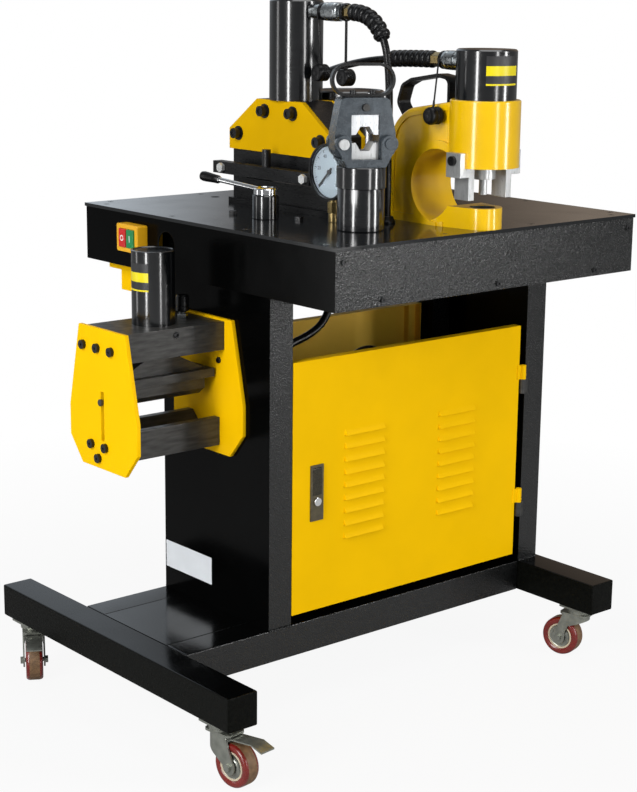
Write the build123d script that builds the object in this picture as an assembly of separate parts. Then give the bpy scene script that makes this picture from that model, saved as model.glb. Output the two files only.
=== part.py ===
from build123d import *
import math
import os

os.makedirs("parts", exist_ok=True)

# All sizes are in millimetres. The floor is z = 0, the front of the stand faces -Y
# and the bender hangs at the -X end. Small gaps shared by many pieces come first.
RUNNING_FIT = 0.05
FREE_GAP = 0.3
SCREW_FIT = 0.2

# Stand: two feet across two rails, and a column of four posts
FEET_SPAN = 927.0
FOOT_LENGTH = 700.0
TUBE = 60.0
TUBE_WALL = 3.0
COLUMN_WIDTH = 680.0
COLUMN_DEPTH = 311.0
COLUMN_INSET = 10.0
POST = 50.0
POST_WALL = 2.5
PANEL_SHEET = 2.0
BASE_SHEET = 3.0

# Casters
CASTER_HEIGHT = 105.0
CASTER_FROM_END = 55.0
CASTER_PLATE = 56.0
CASTER_PLATE_THICK = 4.0
RACE_R = 23.0
RACE_HEIGHT = 10.0
KING_PIN_R = 5.0
KING_NUT_HEIGHT = 6.0
WHEEL_R = 37.5
WHEEL_WIDTH = 32.0
WHEEL_HUB_R = 15.0
WHEEL_DISH = 3.0
TRAIL = 34.0
AXLE_R = 4.0
AXLE_HEAD = 5.0
FORK_SHEET = 3.0
FORK_SIDE_GAP = 1.5
FORK_CROWN = 4.0
FORK_CROWN_BACK = 24.0
FORK_CROWN_FRONT = 34.0
FORK_EYE_R = 13.0
FORK_BACK_DROP = 20.0
FORK_SWEEP_DROP = 9.0
FORK_SWEEP_BEND = 7.0
PEDAL_LENGTH = 80.0
PEDAL_WIDTH = 30.0
PEDAL_SHEET = 2.5
PEDAL_RISE = 6.0
PEDAL_LIP = 24.0
PEDAL_LIP_DROP = 7.0
PEDAL_PIN_R = 2.5
PEDAL_FROM_SWIVEL = 24.0
PEDAL_DROP = 4.0

# Table
TABLE_SIZE = 720.0
TABLE_HEIGHT = 870.0
TABLE_OVERHANG = 33.0
TOP_SHEET = 6.0
SKIRT_HEIGHT = 98.0
SKIRT_SHEET = 3.0
SKIRT_INSET = 2.0
SKIRT_HOLE_R = 25.0
SKIRT_HOLE_FROM_MIDDLE = 101.0
SKIRT_HOLE_DROP = 45.5
SKIRT_SCREW_CORNER = 19.0
SKIRT_SCREW_SIDE = 104.0
SKIRT_SCREW_MIDDLE = 369.0
SKIRT_SCREW_LOW = 11.0
SKIRT_SCREW_HIGH = 18.0
ACCESSORY_HOLE_R = 8.5
ACCESSORY_FROM_LEFT = 250.5
ACCESSORY_FROM_REAR = 72.0
FLUSH_SCREW_R = 5.3
FLUSH_SCREW_DEPTH = 2.8
FLUSH_SCREW_INSET = 19.0
FLUSH_SCREW_ENDS = 45.0
FLUSH_SCREWS_PER_EDGE = 4
SOCKET_R = 2.6
SOCKET_DEPTH = 1.6
BUTTON_HEAD_R = 5.0
BUTTON_HEAD_HEIGHT = 2.8
BRACKET_SHEET = 6.0
BRACKET_FROM_EDGE = 29.5
BRACKET_STEP = 40.0
BRACKET_DROP = 152.0
BRACKET_TIP_DROP = 115.0

# Doors, hinges and lock
DOOR_HEIGHT = 458.0
DOOR_SILL = 17.0
DOOR_GAP = 1.5
DOOR_HINGE_GAP = 16.5
DOOR_SHEET = 1.5
DOOR_RETURN = 18.0
LOUVRES = 9
LOUVRE_PITCH = 23.8
LOUVRE_LENGTH = 92.0
LOUVRE_HEIGHT = 11.0
LOUVRE_DEPTH = 6.0
LOUVRE_SHEET = 1.2
LOUVRE_SIDE = 115.0
LOUVRE_DROP = 7.0
STIFFENER_WIDTH = 12.0
STIFFENER_FROM_EDGE = 20.0
STIFFENER_DEPTH = 14.0
HINGE_R = 6.0
HINGE_PIN_R = 3.0
HINGE_KNUCKLE = 28.0
HINGE_PIN_RISE = 24.0
HINGE_LEAF = 2.0
HINGE_LEAF_LENGTH = 10.0
HINGE_FROM_MIDDLE = 123.5
LOCK_WIDTH = 29.0
LOCK_HEIGHT = 102.0
LOCK_FLANGE = 2.5
LOCK_LIP = 2.5
LOCK_BODY = 18.0
LOCK_FROM_EDGE = 54.5
LOCK_DROP = 11.0
LOCK_LEVER_WIDTH = 20.0
LOCK_LEVER_HEIGHT = 50.0
LOCK_LEVER_THICK = 5.0
LOCK_LEVER_ROUND = 2.4
LOCK_LEVER_RISE = 21.0
LOCK_LEVER_ROOM = 5.0
LOCK_PIN_R = 1.5
LOCK_PIN_DROP = 5.0
LOCK_BUTTON_R = 8.0
LOCK_BUTTON_PROUD = 3.5
LOCK_BUTTON_LENGTH = 14.0
LOCK_BUTTON_DROP = 16.0
LOCK_BUTTON_STROKE = 2.5

# Pump unit inside the column
TANK_LENGTH = 300.0
TANK_DEPTH = 180.0
TANK_HEIGHT = 220.0
TANK_WALL = 3.0
TANK_FROM_RIGHT = 90.0
TANK_LID = 6.0
MOTOR_R = 70.0
MOTOR_HEIGHT = 170.0
MOTOR_FROM_END = 90.0
PORT_BLOCK = 44.0
PORT_BLOCK_HEIGHT = 45.0
PORT_FROM_END = 112.5

# Switch on the left skirt
SWITCH_WIDTH = 66.0
SWITCH_HEIGHT = 50.0
SWITCH_DEPTH = 22.0
SWITCH_FROM_MIDDLE = 191.0
SWITCH_DROP = 40.5
SWITCH_CORNER = 4.0
KEY_WIDTH = 21.0
KEY_HEIGHT = 33.0
KEY_PITCH = 24.0
KEY_POCKET = 9.0
KEY_PROUD = 3.5
KEY_SEAT_GAP = 3.5
KEY_STROKE = 3.0

# Bender at the left end of the column
BENDER_AXIS_Y = 22.0
BENDER_GAP = 212.0
BENDER_PLATE = 8.0
BENDER_PLATE_SHIFT = -10.0
BENDER_PLATE_TOP = 706.0
BENDER_PLATE_BOTTOM = 462.0
BENDER_SHOULDER_TOP = 560.0
BENDER_SHOULDER_BOTTOM = 506.0
BENDER_TOP_WIDTH = 140.0
BENDER_SHOULDER_WIDTH = 204.0
BENDER_BOTTOM_WIDTH = 130.0
BENDER_SLOT_WIDTH = 9.0
BENDER_SLOT_ABOVE = 18.0
BENDER_SLOT_BELOW = 18.0
BENDER_SLOT_SHIFT = -9.0
BENDER_BLOCK_DEPTH = 122.0
BENDER_BLOCK_TOP = 702.0
BENDER_BLOCK_HEIGHT = 50.0
BENDER_CYLINDER_R = 37.5
BENDER_CYLINDER_HEIGHT = 128.0
BENDER_CYLINDER_LIP = 0.8
BENDER_CYLINDER_END = 20.0
BENDER_CYLINDER_BORE_R = 27.0
BENDER_ROD_R = 22.5
BENDER_ROD_ABOVE = 80.0
BENDER_WEDGE_TOP = 646.0
BENDER_WEDGE_HEIGHT = 30.0
BENDER_WEDGE_WIDTH = 61.0
BENDER_LIP_HEIGHT = 15.0
BENDER_LIP_DEPTH = 76.0
BENDER_LIP_END_GAP = 4.5
BENDER_BAR_LENGTH = 181.0
BENDER_BAR_DEPTH = 48.0
BENDER_BAR_HEIGHT = 33.0
BENDER_NOSE_DEPTH = 16.0
BENDER_NOSE_HEIGHT = 12.0
BENDER_STROKE = 50.0
BENDER_DIE_TOP = 529.0
BENDER_DIE_HEIGHT = 51.0
BENDER_DIE_DEPTH = 94.0
BENDER_V_WIDTH = 64.0
BENDER_V_DEPTH = 32.0
POINTER_R = 3.5
POINTER_DROP = 21.0
POINTER_HEAD_R = 6.0
POINTER_HEAD = 5.0
CAP_SCREW_R = 8.0
CAP_SCREW_HEIGHT = 6.0
PLATE_SCREW_PITCH = 42.5
PLATE_SCREW_DROP = 34.0
PLATE_SCREW_RISE = 40.0
PLATE_SCREW_TIP_RISE = 18.0
PLATE_SCREW_SHIFT = 13.0

# Cutter: base block, yellow side plates and upright cylinder
CUTTER_FROM_LEFT = 267.5
CUTTER_FROM_FRONT = 426.0
CUTTER_LENGTH = 294.0
CUTTER_BODY_WIDTH = 60.0
CUTTER_FLANGE = 12.0
CUTTER_FLANGE_HEIGHT = 10.0
CUTTER_BASE_HEIGHT = 101.0
CUTTER_SHOULDER_HEIGHT = 139.0
CUTTER_TOP_HEIGHT = 197.0
CUTTER_TOP_LENGTH = 130.0
CUTTER_PLATE = 10.0
CUTTER_SCREW_NEAR = 40.0
CUTTER_SCREW_FAR = 118.0
CUTTER_SCREW_DROP = 21.0
CUTTER_SCREW_LOW = 30.0
CUTTER_SCREW_R = 9.5
CUTTER_SCREW_HEIGHT = 12.0
CUTTER_SOCKET_R = 5.5
CUTTER_WASHER_R = 13.0
CUTTER_WASHER = 2.0
CUTTER_CYLINDER_R = 48.5
CUTTER_CYLINDER_HEIGHT = 178.0
CUTTER_CYLINDER_END = 20.0
CUTTER_CYLINDER_BORE_R = 26.0
CUTTER_WINDOW_LENGTH = 210.0
CUTTER_WINDOW_HEIGHT = 22.0
CUTTER_WINDOW_SILL = 48.0
CUTTER_BLADE_THICK = 12.0
CUTTER_BLADE_LENGTH = 206.0
CUTTER_BLADE_HEIGHT = 80.0
CUTTER_BLADE_RAKE = 3.0
CUTTER_BLADE_BITE = 2.0
CUTTER_ROD_R = 20.0
CUTTER_ROD_ABOVE = 130.0
CUTTER_LOWER_BLADE_HEIGHT = 13.0
CUTTER_LOWER_BLADE_LENGTH = 200.0
RAIL_WIDTH = 20.0
RAIL_HEIGHT = 22.0
RAIL_STANDOFF = 28.0
RAIL_BOTTOM = 58.0
RAIL_RIGHT_CUT = 15.0
RAIL_BOLT_R = 5.0
RAIL_BOLT_HEAD_R = 9.0
RAIL_BOLT_HEAD = 7.0
RAIL_BOLT_SPAN = 238.0
RAIL_STOP_R = 8.0
RAIL_STOP_HEIGHT = 31.0

# Punch: C-frame with its head over the front edge of the table
PUNCH_FROM_LEFT = 357.5
PUNCH_FROM_FRONT = 34.0
PUNCH_FRAME_WIDTH = 90.0
PUNCH_ANVIL_R = 34.0
PUNCH_ANVIL_HEIGHT = 36.0
PUNCH_BACK = 189.0
PUNCH_BACK_HEIGHT = 135.0
PUNCH_SHOULDER_BACK = 181.0
PUNCH_SHOULDER_HEIGHT = 169.0
PUNCH_CREST_BACK = 146.0
PUNCH_CREST_HEIGHT = 195.0
PUNCH_ARM_BACK = 49.0
PUNCH_ARM_HEIGHT = 211.0
PUNCH_THROAT_R = 63.0
PUNCH_THROAT_BACK = 64.0
PUNCH_THROAT_HEIGHT = 69.0
PUNCH_THROAT_FLOOR = 8.0
PUNCH_LAND_BACK = 32.0
PUNCH_RIM = 14.0
PUNCH_RIM_PROUD = 3.0
PUNCH_BACK_BEND = 60.0
PUNCH_EDGE = 8.0
PUNCH_BORDER = 14.0
PUNCH_RECESS = 3.0
PUNCH_HEAD_EDGE = 3.0
PUNCH_HEAD_R = 60.0
PUNCH_HEAD_BOTTOM = 105.0
PUNCH_HEAD_PROUD = 6.0
PUNCH_HEAD_TOP = PUNCH_ARM_HEIGHT + PUNCH_HEAD_PROUD
PUNCH_BOSS_WIDTH = 34.0
PUNCH_BOSS_PROUD = 1.0
PUNCH_BOSS_BOTTOM = 91.0
PUNCH_BOSS_HEIGHT = 40.0
PUNCH_CYLINDER_R = 51.5
PUNCH_CYLINDER_HEIGHT = 83.0
PUNCH_CYLINDER_END = 18.0
PUNCH_CYLINDER_BORE_R = 26.0
PUNCH_ROD_R = 20.5
PUNCH_ROD_ABOVE = 25.0
PUNCH_ROD_PROUD = 21.0
PUNCH_TIP_R = 7.0
PUNCH_TIP_LENGTH = 27.0
PUNCH_STROKE = 24.0
PUNCH_DIE_R = 22.5
SLUG_HOLE_R = 18.0
STRIPPER_SPREAD = 51.0
STRIPPER_LEG = 13.0
STRIPPER_DEPTH = 34.0
STRIPPER_LEG_LENGTH = 54.0
STRIPPER_BRIDGE = 15.0
STRIPPER_CHEEK = 11.0
STRIPPER_CHEEK_HEIGHT = 26.0
STRAP_WIDTH = 28.0
STRAP_THICK = 6.0
STRAP_BEND = 13.0
STRAP_SINK = 10.0
STRAP_REACH = 22.0
STRAP_RISE = 41.0
STRAP_FRONT = 27.0
STRAP_CROWN = 30.0
STRAP_DIP = 4.0

# Crimper: upright cylinder with a pinned yoke
CRIMPER_FROM_LEFT = 174.7
CRIMPER_FROM_FRONT = 139.0
CRIMPER_TURN = -26.0
CRIMPER_R = 40.0
CRIMPER_BODY_HEIGHT = 71.5
CRIMPER_COLLAR_R = 42.0
CRIMPER_COLLAR_HEIGHT = 35.5
CRIMPER_BORE_FLOOR = 30.0
CRIMPER_ROD_R = 18.0
CRIMPER_BASE_HEIGHT = 13.0
CRIMPER_BASE_FOOT = 66.0
CRIMPER_LUG_WIDTH = 28.0
CRIMPER_LUG_THICK = 11.5
CRIMPER_PIN_SPREAD = 80.0
CRIMPER_PIN_RISE = 39.0
CRIMPER_PIN_R = 6.0
CRIMPER_PIN_HEAD_R = 9.0
CRIMPER_PIN_HEAD = 6.0
YOKE_THICK = 42.0
YOKE_BOTTOM_WIDTH = 104.0
YOKE_SHOULDER_RISE = 56.0
YOKE_TOP_WIDTH = 82.0
YOKE_TOP_RISE = 114.0
YOKE_FOOT_RISE = 16.0
YOKE_WINDOW = 48.0
YOKE_WINDOW_RISE = 86.0
YOKE_CORNER = 10.0
YOKE_FOOT_ROUND = 13.0
DIE_DEPTH = 36.0
DIE_SIDE_GAP = 0.5
UPPER_DIE_HEIGHT = 33.0
LOWER_DIE_HEIGHT = 27.0
DIE_REST_GAP = 13.0
DIE_HEX = 15.5
CRIMPER_STROKE = 12.5
DIE_BUTTON_R = 6.0
DIE_BUTTON_RISE = 98.0
DIE_BUTTON_PROUD = 5.0
DIE_BUTTON_LENGTH = 14.0
DIE_BUTTON_STROKE = 3.0
LOOP_WIDTH = 110.0
LOOP_HEIGHT = 56.0
LOOP_THICK = 5.0
LOOP_DEPTH = 14.0
LOOP_SCREW_SPREAD = 34.0

# Pressure gauge facing the left end
GAUGE_FROM_LEFT = 199.5
GAUGE_FROM_FRONT = 240.0
GAUGE_HEIGHT = 87.0
GAUGE_R = 49.0
GAUGE_DEPTH = 31.0
GAUGE_RIM = 4.0
GAUGE_DIAL_DEPTH = 8.0
NEEDLE_LENGTH = 36.0
NEEDLE_TAIL = 10.0
NEEDLE_WIDTH = 3.0
NEEDLE_THICK = 1.2
NEEDLE_LIFT = 2.5
NEEDLE_HUB_R = 4.0
NEEDLE_PIN_R = 1.5
NEEDLE_PIN_LENGTH = 8.0
GAUGE_NUT_R = 9.5
GAUGE_NUT_HEIGHT = 23.0
GAUGE_STEM_R = 8.3

# Control valve with its lever
VALVE_FROM_LEFT = 134.0
VALVE_FROM_FRONT = 345.0
VALVE_R = 23.0
VALVE_BODY_HEIGHT = 42.0
VALVE_CAP_R = 21.0
VALVE_CAP_HEIGHT = 12.5
VALVE_PIN_R = 6.0
VALVE_PIN_LENGTH = 25.0
REAR_BOLT_ACROSS = 10.0
REAR_BOLT_BEHIND = 82.0
FRONT_BOLT_ACROSS = 35.0
FRONT_BOLT_AHEAD = 50.0
LEVER_HEADING = 100.0
LEVER_LENGTH = 155.0
LEVER_R = 4.5
LEVER_RISE = 15.0
GRIP_R = 9.0
GRIP_LENGTH = 45.0

# Header tank
HEADER_FROM_LEFT = 384.5
HEADER_FROM_FRONT = 414.0
HEADER_R = 62.0
HEADER_COLLAR_R = 65.5
HEADER_COLLAR = 25.0
HEADER_HEIGHT = 212.0

# Couplers, hoses and rubber pieces
COUPLER_R = 13.0
COUPLER_SLEEVE_R = 16.5
CUTTER_COUPLER_LENGTH = 104.0
PUNCH_COUPLER_LENGTH = 74.0
COUPLER_SLEEVE = 40.0
COUPLER_TAIL = 29.0
STRAP_RING = 2.5
STRAP_RING_WIDTH = 7.0
CUTTER_PORT_DROP = 20.0
PUNCH_PORT_DROP = 22.0
HOSE_R = 6.5
CABINET_HOSE_R = 7.0
GUARD_R = 15.0
GUARD_VALLEY_R = 12.0
GUARD_FIT = 0.3
RIB_PITCH = 14.0
CUTTER_GUARD_RIBS = 7
PUNCH_GUARD_RIBS = 8
GROMMET_R = 15.0
GROMMET_HEIGHT = 12.0
GROMMET_NECK_R = 10.0
DUST_CAP_R = 15.0
DUST_CAP_LENGTH = 24.0
CUTTER_PLUG_RING = 29.0
CUTTER_PLUG_DROP = 106.0
CUTTER_PLUG_LEAN = 8.0
CUTTER_CAP_RING = 16.0
CUTTER_CAP_DROP = 112.0
PUNCH_CAP_RING = 49.0
PUNCH_CAP_DROP = 90.0
PUNCH_CAP_LEAN = 62.0
PUNCH_CAP_DRIFT = 39.0
DUST_STRAP = 5.0
DUST_STRAP_THICK = 2.5
NIPPLE_FROM_PLATE = 38.0
NIPPLE_SHIFT = 10.0
NIPPLE_R = 9.0
NIPPLE_HEIGHT = 18.0

# Places worked out from the sizes above
foot_x = (FEET_SPAN - TUBE) / 2
foot_top = CASTER_HEIGHT + TUBE
column_right = FEET_SPAN / 2 - COLUMN_INSET
column_left = column_right - COLUMN_WIDTH
column_middle = (column_left + column_right) / 2
column_front = -COLUMN_DEPTH / 2
table_left = column_left - TABLE_OVERHANG
table_right = table_left + TABLE_SIZE
table_front = -TABLE_SIZE / 2
table_under = TABLE_HEIGHT - TOP_SHEET
skirt_left = table_left + SKIRT_INSET
skirt_right = table_right - SKIRT_INSET
skirt_front = table_front + SKIRT_INSET
BASE = (Align.CENTER, Align.CENTER, Align.MIN)


def block(x, y, z):
    """Box between the low and high end given for each axis."""
    spans = (x, y, z)
    middle = [(low + high) / 2 for low, high in spans]
    size = [high - low for low, high in spans]
    return Pos(*middle) * Box(*size)


def about(middle, size):
    """Low and high end of a span about its middle."""
    return middle - size / 2, middle + size / 2


def upright(x, y, z, r):
    """Cylinder along Z between two heights."""
    return Pos(x, y, z[0]) * Cylinder(r, z[1] - z[0], align=BASE)


def rod(start, end, r):
    """Cylinder between two points."""
    run = Vector(*end) - Vector(*start)
    return Plane(origin=start, z_dir=run) * Cylinder(r, run.length, align=BASE)


def hexagon_rod(start, end, r):
    """Six-sided bar between two points, r to its corners."""
    run = Vector(*end) - Vector(*start)
    face = Plane(origin=start, z_dir=run) * RegularPolygon(r, 6)
    return extrude(face, run.length, dir=run.normalized())


def outline_x(points, x):
    """Plate with an outline of (y, z) points, between two x values."""
    face = Plane.YZ.offset(x[0]) * make_face(Polyline(*points, close=True))
    return extrude(face, x[1] - x[0], dir=(1, 0, 0))


def outline_y(points, y):
    """Plate with an outline of (x, z) points, between two y values."""
    face = Plane.XZ.offset(-y[1]) * make_face(Polyline(*points, close=True))
    return extrude(face, y[1] - y[0], dir=(0, -1, 0))


def square_tube(x, y, z, wall, along):
    """Hollow square bar, open at its two ends along the named axis."""
    spans = {"x": x, "y": y, "z": z}
    hollow = {}
    for axis, (low, high) in spans.items():
        trim = 0 if axis == along else wall
        hollow[axis] = (low + trim, high - trim)
    return block(x, y, z) - block(hollow["x"], hollow["y"], hollow["z"])


def socket_screw(start, end, r, socket=SOCKET_R):
    """Screw head between two points with a hexagon socket in its far end."""
    run = (Vector(*end) - Vector(*start)).normalized()
    floor = Vector(*end) - run * SOCKET_DEPTH
    head = rod(start, end, r)
    return head - hexagon_rod(floor, Vector(*end), socket)


def save(node, *shapes):
    """Write the solids of one node."""
    solids = [solid for shape in shapes for solid in shape.solids()]
    export_step(Compound(solids), f"parts/{node}.step")


screws = []

# Base frame: capped feet, two rails
foot_y = about(0, FOOT_LENGTH)
foot_z = (CASTER_HEIGHT, foot_top)
rail_x = (-foot_x + TUBE / 2, foot_x - TUBE / 2)
rails_y = [(column_front, column_front + TUBE), (-column_front - TUBE, -column_front)]
frame = []
for side in (-1, 1):
    span_x = about(side * foot_x, TUBE)
    frame.append(square_tube(span_x, foot_y, foot_z, TUBE_WALL, "y"))
    inner_x = about(side * foot_x, TUBE - 2 * TUBE_WALL)
    inner_z = (foot_z[0] + TUBE_WALL, foot_z[1] - TUBE_WALL)
    frame.append(block(inner_x, (foot_y[0], foot_y[0] + TUBE_WALL), inner_z))
    frame.append(block(inner_x, (foot_y[1] - TUBE_WALL, foot_y[1]), inner_z))
for span_y in rails_y:
    frame.append(square_tube(rail_x, span_y, foot_z, TUBE_WALL, "x"))
save("base_frame", *frame)

# Column: four posts, two side panels, floor sheet
post_z = (foot_top, table_under)
posts_x = [(column_left, column_left + POST), (column_right - POST, column_right)]
posts_y = [(column_front, column_front + POST), (-column_front - POST, -column_front)]
column = []
for span_x in posts_x:
    for span_y in posts_y:
        column.append(square_tube(span_x, span_y, post_z, POST_WALL, "z"))
panel_y = (posts_y[0][1], posts_y[1][0])
column.append(block((column_left, column_left + PANEL_SHEET), panel_y, post_z))
column.append(block((column_right - PANEL_SHEET, column_right), panel_y, post_z))
floor_y = (rails_y[0][1], rails_y[1][0])
column.append(block(rail_x, floor_y, (foot_top - BASE_SHEET, foot_top)))
save("column", *column)

# Places of the devices on the table
cutter_x = table_left + CUTTER_FROM_LEFT
cutter_y = table_front + CUTTER_FROM_FRONT
punch_x = table_left + PUNCH_FROM_LEFT
punch_y = table_front + PUNCH_FROM_FRONT
crimper_x = table_left + CRIMPER_FROM_LEFT
crimper_y = table_front + CRIMPER_FROM_FRONT
gauge_x = table_left + GAUGE_FROM_LEFT
gauge_y = table_front + GAUGE_FROM_FRONT
valve_x = table_left + VALVE_FROM_LEFT
valve_y = table_front + VALVE_FROM_FRONT
header_x = table_left + HEADER_FROM_LEFT
header_y = table_front + HEADER_FROM_FRONT

# Hose routes, each from its coupler to the table
cutter_port_z = TABLE_HEIGHT + CUTTER_TOP_HEIGHT + CUTTER_CYLINDER_HEIGHT - CUTTER_PORT_DROP
cutter_port_y = cutter_y - CUTTER_CYLINDER_R
cutter_hose_start = (cutter_x, cutter_port_y - CUTTER_COUPLER_LENGTH, cutter_port_z)
punch_port_z = TABLE_HEIGHT + PUNCH_HEAD_TOP + PUNCH_CYLINDER_HEIGHT - PUNCH_PORT_DROP
punch_port_y = punch_y + PUNCH_CYLINDER_R
punch_hose_start = (punch_x, punch_port_y + PUNCH_COUPLER_LENGTH, punch_port_z)
grommet_top = TABLE_HEIGHT + GROMMET_HEIGHT


def route(start, steps, end):
    """Points of a hose: a start, offsets from it, and an end."""
    x, y, z = start
    return [start] + [(x + dx, y + dy, z + dz) for dx, dy, dz in steps] + [end]


def hose(name, points, r):
    """Tube of straight runs and the largest tangent arcs, with its radii printed."""
    corners = [Vector(*point) for point in points]
    radii = []
    for before, here, after in zip(corners, corners[1:], corners[2:]):
        turn = math.radians((here - before).get_angle(after - here))
        shorter = min((here - before).length, (after - here).length)
        radii.append(0.45 * shorter / math.tan(turn / 2))
    path = FilletPolyline(*points, radius=radii)
    section = Plane(origin=path @ 0, z_dir=path % 0) * Circle(r)
    tube = sweep(section, path)
    share = tube.volume / (math.pi * r * r * path.length)
    print(name, "radii", [round(radius) for radius in radii], "volume share", round(share, 4))
    return tube, path


cutter_steps = [
    (0, -26, 0),
    (0, -60, -15),
    (0, -84.5, -46),
    (0, -95.5, -90),
    (1, -98, -152),
    (1, -96, -216),
    (1, -97, -280),
]
cutter_drop = (cutter_x + 1, cutter_hose_start[1] - 97, grommet_top)
cutter_points = route(cutter_hose_start, cutter_steps, cutter_drop)
punch_steps = [
    (0, 42, 0),
    (0, 112, -3),
    (-2, 180.5, -10),
    (2, 250.5, -23),
    (14, 320.5, -40),
    (36, 364.5, -80),
    (54, 386.5, -140),
    (59, 391.5, -208),
]
punch_drop = (punch_x + 59, punch_hose_start[1] + 391.5, grommet_top)
punch_points = route(punch_hose_start, punch_steps, punch_drop)
cutter_hose, cutter_path = hose("cutter_hose", cutter_points, HOSE_R)
punch_hose, punch_path = hose("punch_hose", punch_points, HOSE_R)
save("cutter_hose", cutter_hose)
save("punch_hose", punch_hose)
grommets = [cutter_drop[:2], punch_drop[:2]]

# Table top with its flush screws, hose holes, accessory hole and slug hole
top = block((table_left, table_right), about(0, TABLE_SIZE), (table_under, TABLE_HEIGHT))
through = (table_under, TABLE_HEIGHT)
accessory = (table_left + ACCESSORY_FROM_LEFT, -table_front - ACCESSORY_FROM_REAR)
top -= upright(*accessory, through, ACCESSORY_HOLE_R)
top -= upright(punch_x, punch_y, through, SLUG_HOLE_R)
for x, y in grommets:
    top -= upright(x, y, through, GROMMET_NECK_R)
edge_step = (TABLE_SIZE - 2 * FLUSH_SCREW_ENDS) / (FLUSH_SCREWS_PER_EDGE - 1)
flush_places = []
for count in range(FLUSH_SCREWS_PER_EDGE):
    along = FLUSH_SCREW_ENDS + count * edge_step
    flush_places.append((table_left + FLUSH_SCREW_INSET, table_front + along))
    flush_places.append((table_right - FLUSH_SCREW_INSET, table_front + along))
    flush_places.append((table_left + along, table_front + FLUSH_SCREW_INSET))
    flush_places.append((table_left + along, -table_front - FLUSH_SCREW_INSET))
seat_z = TABLE_HEIGHT - FLUSH_SCREW_DEPTH
for x, y in flush_places:
    top -= upright(x, y, (seat_z, TABLE_HEIGHT), FLUSH_SCREW_R + SCREW_FIT)
    screws.append(socket_screw((x, y, seat_z), (x, y, TABLE_HEIGHT), FLUSH_SCREW_R))
save("table_top", top)

# Table skirt
skirt_z = (table_under - SKIRT_HEIGHT, table_under)
skirt_y = (skirt_front, -skirt_front)
skirt = square_tube((skirt_left, skirt_right), skirt_y, skirt_z, SKIRT_SHEET, "z")
hole_z = table_under - SKIRT_HOLE_DROP
hole_start = (skirt_left - 1, SKIRT_HOLE_FROM_MIDDLE, hole_z)
skirt -= rod(hole_start, (skirt_left + SKIRT_SHEET + 1, SKIRT_HOLE_FROM_MIDDLE, hole_z), SKIRT_HOLE_R)
save("table_skirt", skirt)
low_row = skirt_z[0] + SKIRT_SCREW_LOW
high_row = skirt_z[1] - SKIRT_SCREW_HIGH
skirt_screws = [
    (table_left + SKIRT_SCREW_CORNER, high_row),
    (table_left + SKIRT_SCREW_SIDE, low_row),
    (table_left + SKIRT_SCREW_MIDDLE, low_row),
    (table_right - SKIRT_SCREW_SIDE, low_row),
    (table_right - SKIRT_SCREW_CORNER, high_row),
]
for x, z in skirt_screws:
    start = (x, skirt_front, z)
    screws.append(socket_screw(start, (x, skirt_front - BUTTON_HEAD_HEIGHT, z), BUTTON_HEAD_R))

# Stepped bracket from the left rear post out under the table
bracket_y = -column_front
bracket_end = -table_front - BRACKET_FROM_EDGE
bracket_outline = [
    (bracket_y, table_under),
    (bracket_y, table_under - BRACKET_DROP),
    (bracket_end - BRACKET_STEP, table_under - BRACKET_DROP),
    (bracket_end - BRACKET_STEP, table_under - BRACKET_TIP_DROP),
    (bracket_end, table_under - BRACKET_TIP_DROP),
    (bracket_end, table_under),
]
save("table_bracket", outline_x(bracket_outline, (column_left, column_left + BRACKET_SHEET)))

# Door sheet with returns, louvres and hinge sleeves
door_left = column_left + POST + DOOR_GAP
door_right = column_right - POST - DOOR_HINGE_GAP
door_bottom = foot_top + DOOR_SILL
door_top = door_bottom + DOOR_HEIGHT
door_middle_x = (door_left + door_right) / 2
door_middle_z = (door_bottom + door_top) / 2
door_x = (door_left, door_right)
door_z = (door_bottom, door_top)
door = block(door_x, (column_front, column_front + DOOR_RETURN), door_z)
hollow_x = (door_left + DOOR_SHEET, door_right - DOOR_SHEET)
hollow_z = (door_bottom + DOOR_SHEET, door_top - DOOR_SHEET)
door -= block(hollow_x, (column_front + DOOR_SHEET, column_front + DOOR_RETURN), hollow_z)
hoods = []
mouths = []
for side in (-1, 1):
    span_x = about(door_middle_x + side * LOUVRE_SIDE, LOUVRE_LENGTH)
    mouth_x = about(door_middle_x + side * LOUVRE_SIDE, LOUVRE_LENGTH - 2 * LOUVRE_SHEET)
    for row in range(LOUVRES):
        z = door_middle_z - LOUVRE_DROP + (row - (LOUVRES - 1) / 2) * LOUVRE_PITCH
        low = z - LOUVRE_HEIGHT / 2
        high = z + LOUVRE_HEIGHT / 2
        inside = column_front + DOOR_SHEET
        tip = column_front - LOUVRE_DEPTH
        hoods.append(outline_x([(column_front, low), (tip, low), (column_front, high)], span_x))
        drop = 2 * LOUVRE_SHEET
        inner_top = high - drop
        mouth = [(inside, low), (tip + LOUVRE_SHEET, low), (column_front, inner_top), (inside, inner_top)]
        mouths.append(outline_x(mouth, mouth_x))
door = door + hoods
door = door - mouths
hinge_x = door_right + DOOR_HINGE_GAP / 2
hinge_y = column_front - HINGE_LEAF
leaf_y = (column_front - HINGE_LEAF, column_front)
leaf_reach = HINGE_R - (HINGE_R - HINGE_PIN_R) / 2
hinge_pins = []
sleeves = []
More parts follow.
